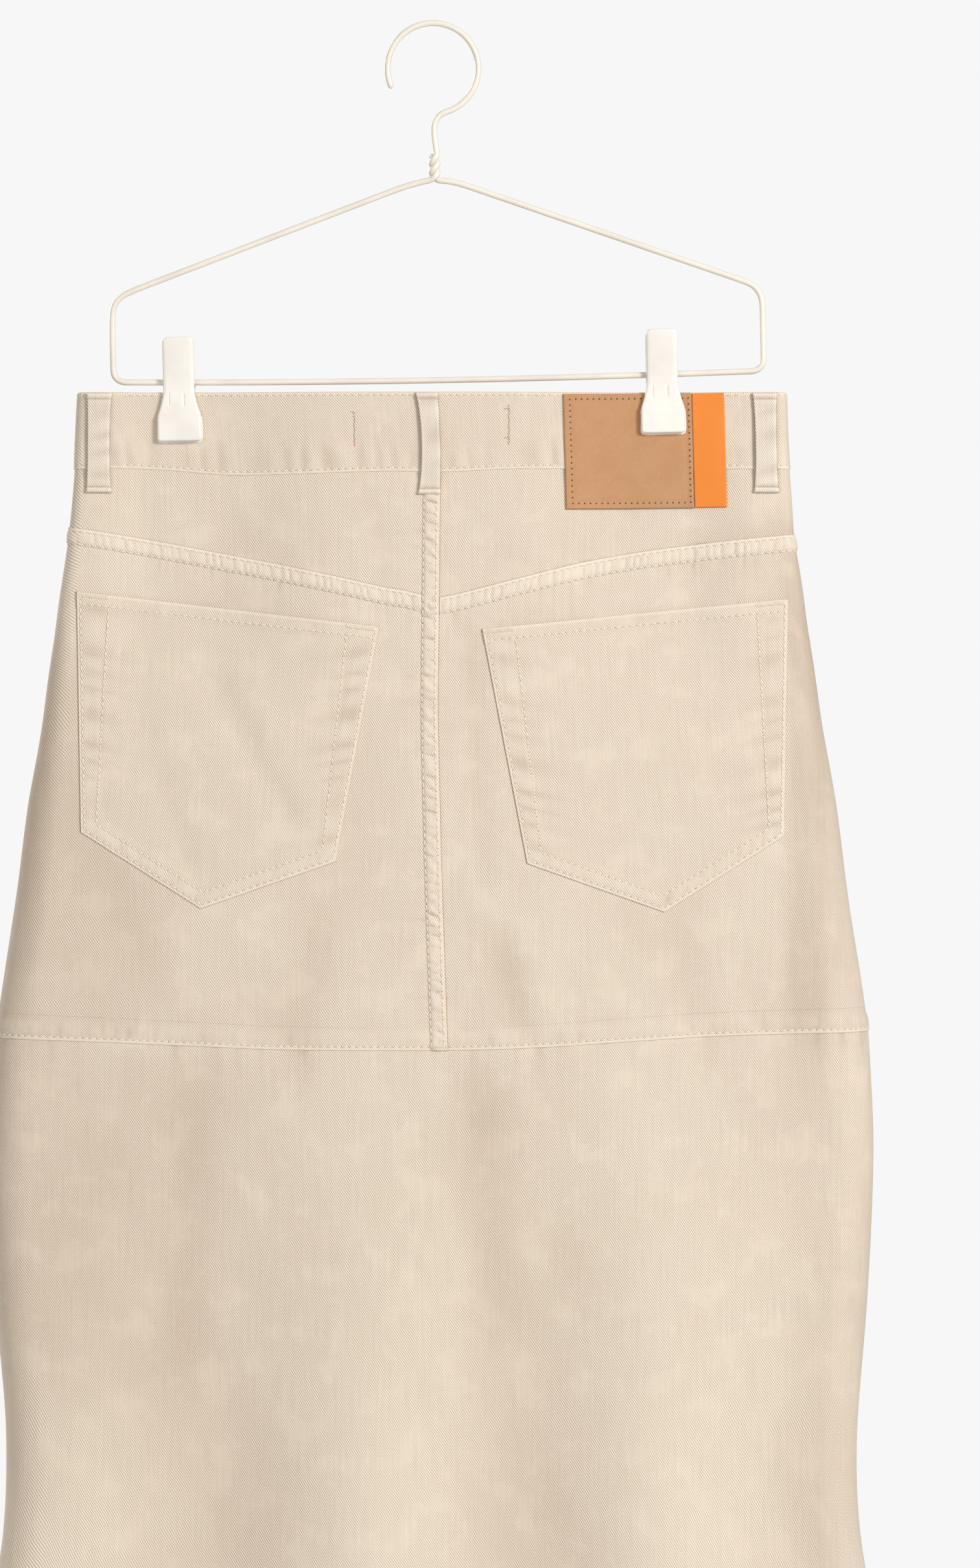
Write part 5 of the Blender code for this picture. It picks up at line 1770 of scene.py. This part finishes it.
def pocket_lines(pocket):
    """The corners through which a pocket's rows run: its edge, inside it, and its hem."""
    edge, hem_row, foot_row = EDGE_ROW, POCKET_HEM_ROW, POCKET_FOOT_ROW
    wide, narrow = POCKET_SIDE_ROW
    lines = (
        (("top", 0.6, "inner", edge), ("inner", edge, "foot_inner", edge),
         ("foot_inner", edge, "foot_outer", edge), ("foot_outer", edge, "outer", edge),
         ("outer", edge, "top", 0.6)),
        (("top", hem_row, "inner", wide), ("inner", narrow, "foot_inner", foot_row),
         ("foot_inner", foot_row, "foot_outer", foot_row),
         ("foot_outer", foot_row, "outer", narrow), ("outer", wide, "top", hem_row)),
        (("top", hem_row, "inner", edge), ("top", hem_row, "outer", edge)),
    )
    return [[pocket_corner(pocket, *corner) for corner in corners] for corners in lines]


def make_pocket_stitches():
    """Each pocket's edge row, inner row and hem row, and a bar tack at each mouth corner."""
    share = np.linspace(0, 1, 200)
    for pocket in POCKETS:
        sign = SIGNS[pocket.side]

        def face(x, z):
            q = q_on_back(x, z)
            return q, z, pocket_base(pocket, q, x, z) + pocket_bulk(pocket, x, z)

        sewn = [row(*face(sign * mix(x0, x1, share), mix(z0, z1, share)))
                for corners in pocket_lines(pocket)
                for (x0, z0), (x1, z1) in zip(corners, corners[1:])]
        square = pocket_edge(pocket, "top")[1]
        lean = sign * math.atan2(square[0], -square[1])
        tacks = []
        for side in ("inner", "outer"):
            x, z = pocket_corner(pocket, "top", 1.9, side, 9.0)
            tacks.append(tack(sign * x, z, 15.0, lean, face, 2.2))
        sew_rows(f"pocket_{pocket.side}", sewn, tacks, f"pocket_{pocket.side}_cloth")


def make_loop_stitches():
    """A bar tack across each end of each loop."""
    share = np.linspace(-0.9, 0.9, 20)
    for loop in BELT_LOOPS:
        length = loop.drop_bottom - loop.drop_top
        sewn = []
        for t_at in (LOOP_TACK / length, 1 - LOOP_TACK / length):
            ends = []
            for way in (-1, 1):
                t = t_at + way * 0.7 / length + 0.003 * np.sin(9 * share)
                q, z, _ = loop_place(loop, share + way * 0.02, t)
                ends.append((q, z, loop_base(loop, z, t) + loop_bulk(loop, share, t)))
            sewn.append(across_ends(ends))
        sew(f"belt_loop_{loop.name}_stitches", sewn, radius=FINE_THREAD_RADIUS,
            on=f"belt_loop_{loop.name}_cloth")


def make_patch_stitches():
    """The board's stitched frame: dark marks at the needle holes as painted shade, with tan thread
    between them.
    """
    patch = PATCHES[0]
    left, right = patch.left + PATCH_ROW_INSET, patch.right - PATCH_ROW_INSET + 1.6
    top, bottom = -patch.drop_top - 2.9, -patch.drop_bottom + 2.9
    corners = [(left, top), (left, bottom), (right, bottom), (right, top), (left, top)]
    sewn, holes = [], []
    for (x0, z0), (x1, z1) in zip(corners, corners[1:]):
        share = np.linspace(0, 1, 120)
        x, z = mix(x0, x1, share), mix(z0, z1, share)
        q, low = patch_place(patch, x, z)
        height = patch_base(low) + patch_bulk(patch, x, z)
        stitches = row(q, low, height - 0.02, PATCH_PITCH)
        sewn.append(stitches)
        along = unit(stitches.ends - stitches.starts)
        holes.append(Sewn(stitches.starts - 0.62 * along, stitches.starts + 0.32 * along,
                          stitches.outs))
    sew("waist_patch_stitches", sewn, "tan_thread", FINE_THREAD_RADIUS)
    sew("waist_patch_holes", holes, "board_hole_shade", BOARD_HOLE_RADIUS)


def make_stitches():
    make_waist_stitches()
    for side in SIGNS:
        make_yoke_stitches(side)
    make_centre_stitches()
    make_thigh_and_hem_stitches("back", np.linspace(-1.98, 1.98, 1300), "back_right_cloth")
    make_thigh_and_hem_stitches("front", np.linspace(2.02, 3.98, 900), "front_right_cloth")
    make_fly_stitches()
    make_pocket_stitches()
    make_loop_stitches()
    make_patch_stitches()


# ---- materials --------------------------------------------------------------------------
TWILL_ANGLE = math.radians(56.5)
TWILL_PITCH = 0.97
TWILL_FLOAT = 1.3
TWILL_LEVEL = 0.56
TWILL_DEEP = (190, 169, 147)
TWILL_LIGHT = (252, 245, 233)
TWILL_RUBBED = (249, 245, 236)
TWILL_WARM = (226, 206, 183)
# The brown painted as shade in creases, gaps and along shadowed edges.
SHADE_BROWN = (166, 136, 108)


class Paint:
    """Adds and links the nodes of one material."""

    def __init__(self, name, **sockets):
        self.material = bpy.data.materials.new(name)
        self.material.use_nodes = True
        self.tree = self.material.node_tree
        self.shader = self.tree.nodes["Principled BSDF"]
        for key, value in sockets.items():
            self.put(self.shader, key.replace("_", " "), value)

    def put(self, node, key, value):
        socket = node.inputs[key]
        if isinstance(value, bpy.types.NodeSocket):
            self.tree.links.new(value, socket)
        else:
            socket.default_value = value

    def node(self, kind, sockets=(), **settings):
        made = self.tree.nodes.new("ShaderNode" + kind)
        for key, value in settings.items():
            setattr(made, key, value)
        for key, value in dict(sockets).items():
            self.put(made, key, value)
        return made

    def sum(self, operation, a, b=0.0, c=0.0):
        return self.node("Math", {0: a, 1: b, 2: c}, operation=operation).outputs[0]

    def place(self):
        return self.node("TexCoord").outputs["Object"]

    def flat(self):
        """The cloth's flat places, in mm."""
        uv = self.node("UVMap", uv_map="cloth").outputs[0]
        return self.node("VectorMath", {0: uv, 3: 1 / MM}, operation="SCALE").outputs[0]

    def stretch(self, vector, scale, turn=0.0):
        return self.node("Mapping", {0: vector, 2: (0, 0, turn), 3: scale}).outputs[0]

    def noise(self, vector, scale, detail=2.0, rough=0.5):
        return self.node("TexNoise", {"Vector": vector, "Scale": scale, "Detail": detail,
                                      "Roughness": rough}).outputs[0]

    def tone(self, value, low, high):
        """0 below low and 1 above high, easing between them."""
        return self.node("MapRange", {0: value, 1: low, 2: high},
                         interpolation_type="SMOOTHSTEP").outputs[0]

    def blend(self, factor, a, b, mode="MIX"):
        made = self.node("Mix", data_type="RGBA", blend_type=mode)
        for key, value in ((0, factor), (6, a), (7, b)):
            self.put(made, key, value)
        return made.outputs[2]

    def finish(self, tint, height, distance, strength=0.5):
        """The material in its tint, with a fine bump of a distance in metres."""
        bump = self.node("Bump", {"Height": height, "Distance": distance, "Strength": strength})
        self.put(self.shader, "Base Color", tint)
        self.put(self.shader, "Normal", bump.outputs[0])
        return self.material


def colour(r, g, b, dim=1.0):
    """A colour from its sRGB levels, 0 to 255, as the linear values that nodes take."""
    linear = [((c / 255 + 0.055) / 1.055) ** 2.4 * dim for c in (r, g, b)]
    return (*linear, 1.0)


def twill_height(paint, flat):
    """Slanting ridges that wander slightly, broken into floats, from 0 to 1."""
    wander = paint.noise(flat, 0.045, 3.0)
    fine_wander = paint.noise(flat, 0.35, 2.0)
    slanted = paint.node("VectorRotate", {"Vector": flat, "Angle": TWILL_ANGLE - math.pi / 2},
                         rotation_type="Z_AXIS").outputs[0]
    split = paint.node("SeparateXYZ", {0: slanted})
    across = paint.sum("MULTIPLY", split.outputs[0], 1 / TWILL_PITCH)
    across = paint.sum("MULTIPLY_ADD", wander, 2.2, across)
    across = paint.sum("MULTIPLY_ADD", fine_wander, 0.2, across)
    ridge = paint.sum("SINE", paint.sum("MULTIPLY", across, 2 * math.pi))
    ridge = paint.sum("MULTIPLY_ADD", ridge, 0.5, 0.5)
    start = paint.sum("MULTIPLY", paint.sum("FLOOR", across), 0.37)
    place = paint.sum("MULTIPLY_ADD", split.outputs[1], 1 / TWILL_FLOAT, start)
    floats = paint.sum("ABSOLUTE", paint.sum("SINE", paint.sum("MULTIPLY", place, math.pi)))
    return paint.sum("MULTIPLY", ridge, paint.sum("MULTIPLY_ADD", floats, 0.3, 0.7))


def make_denim(name, contrast, light):
    """Ecru twill with slubs and a soft nap, painted pale as painted highlight and worn folds,
    and brown as painted shade in creases and gaps.

    contrast scales the ridges, and light is the colour of their crowns.
    """
    paint = Paint(name, Roughness=0.85, Specular_IOR_Level=0.2, Sheen_Weight=0.18,
                  Sheen_Roughness=0.45)
    flat = paint.flat()
    height = twill_height(paint, flat)
    # The mesh's painted light and shade: over 0 it paints the twill paler and softer, under 0 it
    # tints it towards the shade brown.
    light_and_wear = paint.node("Attribute", attribute_name="light_and_wear").outputs["Fac"]
    lit_and_rubbed, crease_shade = paint.sum("MAXIMUM", light_and_wear), paint.sum("MINIMUM", light_and_wear)
    patchy = paint.tone(paint.noise(flat, 0.05, 4.0, 0.6), 0.33, 0.5)
    strength = paint.sum("MULTIPLY_ADD", patchy, 0.52 * contrast, 0.45 * contrast)
    strength = paint.sum("MULTIPLY", strength, paint.sum("MULTIPLY_ADD", lit_and_rubbed, -0.6, 1.0))
    swing = paint.sum("MULTIPLY", paint.sum("SUBTRACT", height, 0.44), strength)
    slub = paint.noise(paint.stretch(flat, (0.9, 0.03, 1)), 1.0, 2.0)
    fuzz = paint.noise(flat, 2.6, 2.0)
    cloud = paint.noise(flat, 0.02, 3.0)
    level = paint.sum("ADD", swing, paint.sum("MULTIPLY_ADD", lit_and_rubbed, 0.25, TWILL_LEVEL))
    level = paint.sum("MULTIPLY_ADD", paint.sum("SUBTRACT", slub, 0.5), 0.28, level)
    level = paint.sum("MULTIPLY_ADD", paint.sum("SUBTRACT", fuzz, 0.5), 0.35, level)
    tint = paint.blend(level, colour(*TWILL_DEEP), colour(*light))
    tint = paint.blend(paint.sum("MULTIPLY", cloud, 0.2), tint, colour(*TWILL_WARM))
    tint = paint.blend(paint.sum("MULTIPLY", crease_shade, -1.0), tint, colour(*SHADE_BROWN))
    grain = paint.sum("MULTIPLY_ADD", slub, 0.25, paint.sum("MULTIPLY", height, strength))
    return paint.finish(tint, grain, 0.00025, 0.8)


def make_thread(name, rgb):
    """Spun thread, slightly mottled."""
    paint = Paint(name, Roughness=0.6, Sheen_Weight=0.2)
    grain = paint.noise(paint.place(), 900.0, 3.0)
    return paint.finish(paint.blend(grain, colour(*rgb, 0.8), colour(*rgb)), grain, 0.0001)


def make_board():
    """Soft mottled board, with darker fibres and a worn, paler bloom."""
    paint = Paint("kraft_board_look", Roughness=0.78, Sheen_Weight=0.12)
    place = paint.flat()
    cloud = paint.noise(place, 0.07, 5.0, 0.6)
    fleck = paint.noise(place, 1.6, 4.0, 0.7)
    fibre = paint.noise(paint.stretch(place, (1.3, 0.35, 1), 0.2), 1.0, 4.0, 0.75)
    tint = paint.blend(paint.tone(cloud, 0.2, 0.8), colour(191, 142, 101), colour(199, 151, 110))
    tint = paint.blend(paint.tone(fleck, 0.5, 0.9), tint, colour(178, 128, 88))
    tint = paint.blend(paint.tone(fibre, 0.5, 0.85), tint, colour(214, 168, 128))
    return paint.finish(tint, paint.sum("MULTIPLY_ADD", fibre, 0.6, fleck), 0.0002)


def make_tape(name, rgb, rib=0.55):
    """A close woven tape with fine ribs across it."""
    paint = Paint(name, Roughness=0.72, Sheen_Weight=0.2, Sheen_Roughness=0.4)
    flat = paint.flat()
    split = paint.node("SeparateXYZ", {0: flat})
    weft = paint.sum("SINE", paint.sum("MULTIPLY", split.outputs[1], 2 * math.pi / rib))
    warp = paint.sum("SINE", paint.sum("MULTIPLY", split.outputs[0], math.pi / rib))
    weave_height = paint.sum("MULTIPLY_ADD", paint.sum("MULTIPLY", weft, warp), 0.5, 0.5)
    cloud = paint.noise(flat, 0.15, 3.0)
    dark = colour(*rgb, 0.86)
    tint = paint.blend(weave_height, dark, colour(*rgb))
    tint = paint.blend(paint.sum("MULTIPLY", cloud, 0.2), tint, dark)
    return paint.finish(tint, weave_height, 0.00015)


def make_smooth(name, rgb, roughness, metal=0.0, grain_scale=350.0, depth=0.00004, **sockets):
    """Moulded plastic, coated wire or metal, with fine uneven gloss."""
    paint = Paint(name, Metallic=metal, **sockets)
    place = paint.place()
    broad = paint.noise(place, 40.0, 3.0)
    fine = paint.noise(place, grain_scale, 3.0)
    gloss = paint.sum("MULTIPLY_ADD", fine, 0.16, roughness - 0.08)
    paint.put(paint.shader, "Roughness", gloss)
    tint = paint.blend(paint.tone(broad, 0.3, 0.75), colour(*rgb), colour(*rgb, 0.9))
    return paint.finish(tint, fine, depth, 0.4)


def make_materials():
    denim = make_denim("ecru_twill", 1.0, TWILL_LIGHT)
    folded = make_denim("folded_twill", 0.85, TWILL_RUBBED)
    MATERIALS.update({
        "denim": (denim, "denim"),
        "trim": (folded, "denim_trim"),
        "thread": (make_thread("ecru_thread", (246, 235, 216)), "denim_trim"),
        "brown_thread": (make_thread("brown_thread", (178, 146, 116)), "denim_trim"),
        "red_thread": (make_thread("red_thread", (206, 96, 60)), "denim_trim"),
        "tan_thread": (make_thread("tan_thread", (214, 176, 130)), "kraft_board"),
        # Dark marks at the needle holes, in the board and in the cloth: painted shade.
        "board_hole_shade": (make_thread("board_hole_shade", (112, 68, 38)), "kraft_board"),
        "needle_hole_shade": (make_thread("needle_hole_shade", (168, 136, 104)), "denim_trim"),
        "board": (make_board(), "kraft_board"),
        "tape": (make_tape("orange_tape_look", (253, 147, 55)), "orange_tape"),
        "zip_tape": (make_tape("zip_tape_look", (226, 212, 190), 0.8), "zip"),
        "plastic": (make_smooth("white_plastic", (250, 247, 243), 0.36, Coat_Weight=0.15),
                    "clip_plastic"),
        "pad": (make_smooth("soft_pad", (248, 245, 238), 0.6, depth=0.00012), "clip_plastic"),
        "wire": (make_smooth("cream_wire", (246, 241, 230), 0.3, Coat_Weight=0.3), "coated_wire"),
        "steel": (make_smooth("strip_steel", (196, 196, 192), 0.34, 1.0), "spring_steel"),
        "brass": (make_smooth("aged_brass", (176, 138, 88), 0.38, 1.0, 220.0, 0.0001),
                  "button_brass"),
    })


# ---- the cloths' cuts -------------------------------------------------------------------
# Pieces with a cut that are not cloth.
NOT_CLOTH = ("waist_patch_piece",)


def declare_cloths():
    """Goes through each cloth's cut and the trims sewn on it, without using them."""
    for name, cut in CUTS.items():
        if name in NOT_CLOTH:
            continue
        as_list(TRIMS.get(name, []))


# ---- stage, lights and camera -----------------------------------------------------------
# The picture's own scale and size, and where its centre line and waist lie in it.
PX_PER_MM = 3.0
FRAME_WIDTH, FRAME_HEIGHT = 1512, 2420
CENTRE_LINE_PX = 666.0
WAIST_PX = 601.5
LENS = 120.0
SENSOR = 36.0
FRONT_OF_CENTRE = 20
FLOOR_RADIUS = 0.95
FLOOR_GAP = 0.012
FLOOR_TONES = ((0.78, 0.78, 0.77, 1), (0.84, 0.84, 0.83, 1))
AMBIENT = (0.42, 0.395, 0.365, 1)
BACKDROP = (0.93, 0.93, 0.93, 1)
LAMP_TARGET = (0, 0, -0.45)
Lamp = namedtuple("Lamp", "name place size power tint")
LAMPS = (
    Lamp("key", (1.65, -2.0, 0.62), 0.8, 52, (1.0, 0.98, 0.95)),
    Lamp("fill", (-1.5, -2.4, 0.1), 2.0, 12, (1.0, 0.98, 0.95)),
    Lamp("rear", (-1.6, 2.0, 0.7), 1.6, 36, (1.0, 1.0, 1.0)),
)


def make_camera():
    """A camera square to the back, framed as the picture is."""
    data = bpy.data.cameras.new("camera")
    data.lens, data.sensor_width, data.sensor_fit = LENS, SENSOR, "AUTO"
    camera = bpy.data.objects.new("camera", data)
    bpy.context.scene.collection.objects.link(camera)
    distance = FRAME_HEIGHT / PX_PER_MM / SENSOR * LENS
    x = (FRAME_WIDTH / 2 - CENTRE_LINE_PX) / PX_PER_MM
    z = -WAIST_BELOW_HOOK - (FRAME_HEIGHT / 2 - WAIST_PX) / PX_PER_MM
    camera.location = Vector((x, -distance - FRONT_OF_CENTRE, z)) * MM
    camera.rotation_euler = (math.pi / 2, 0, 0)
    bpy.context.scene.camera = camera


def make_lamp(lamp):
    data = bpy.data.lights.new(lamp.name, "AREA")
    data.shape, data.size, data.energy, data.color = "DISK", lamp.size, lamp.power, lamp.tint
    light = bpy.data.objects.new(lamp.name, data)
    light.location = lamp.place
    ahead = Vector(LAMP_TARGET) - Vector(lamp.place)
    light.rotation_euler = ahead.to_track_quat("-Z", "Y").to_euler()
    bpy.context.scene.collection.objects.link(light)


def make_floor():
    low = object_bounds()[0]
    bpy.ops.mesh.primitive_circle_add(vertices=96, radius=FLOOR_RADIUS, fill_type="NGON",
                                      location=(0, 0, low.z - FLOOR_GAP))
    floor = bpy.context.object
    floor.name = "floor"
    paint = Paint("pale_floor", Roughness=0.7)
    tone = paint.noise(paint.place(), 6.0, 4.0)
    paint.put(paint.shader, "Base Color", paint.blend(tone, *FLOOR_TONES))
    floor.data.materials.append(paint.material)
    floor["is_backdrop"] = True


def make_world():
    """Soft light all round, and a paler backdrop that only the camera sees."""
    world = bpy.data.worlds.new("studio")
    bpy.context.scene.world = world
    world.use_nodes = True
    nodes, links = world.node_tree.nodes, world.node_tree.links
    path = nodes.new("ShaderNodeLightPath")
    seen = nodes.new("ShaderNodeMix")
    seen.data_type = "RGBA"
    seen.inputs[6].default_value = AMBIENT
    seen.inputs[7].default_value = BACKDROP
    links.new(path.outputs["Is Camera Ray"], seen.inputs[0])
    links.new(seen.outputs[2], nodes["Background"].inputs["Color"])
    bpy.context.scene.view_settings.view_transform = "Standard"


def make_stage():
    make_floor()
    for lamp in LAMPS:
        make_lamp(lamp)
    make_world()


def write_size():
    """Works out the CAD model's box and the visual model's as plain lists, then drops them."""
    boxes = {"cad": CAD_BOX, "visual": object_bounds()}
    {name: [list(low), list(high)] for name, (low, high) in boxes.items()}


make_materials()
make_waistband()
make_upper_panels()
make_lower_panels()
make_fells()
make_pockets()
make_belt_loops()
make_patches()
make_fly()
make_button()
make_hanger()
make_clips()
make_stitches()
declare_cloths()
make_stage()
make_camera()
write_size()
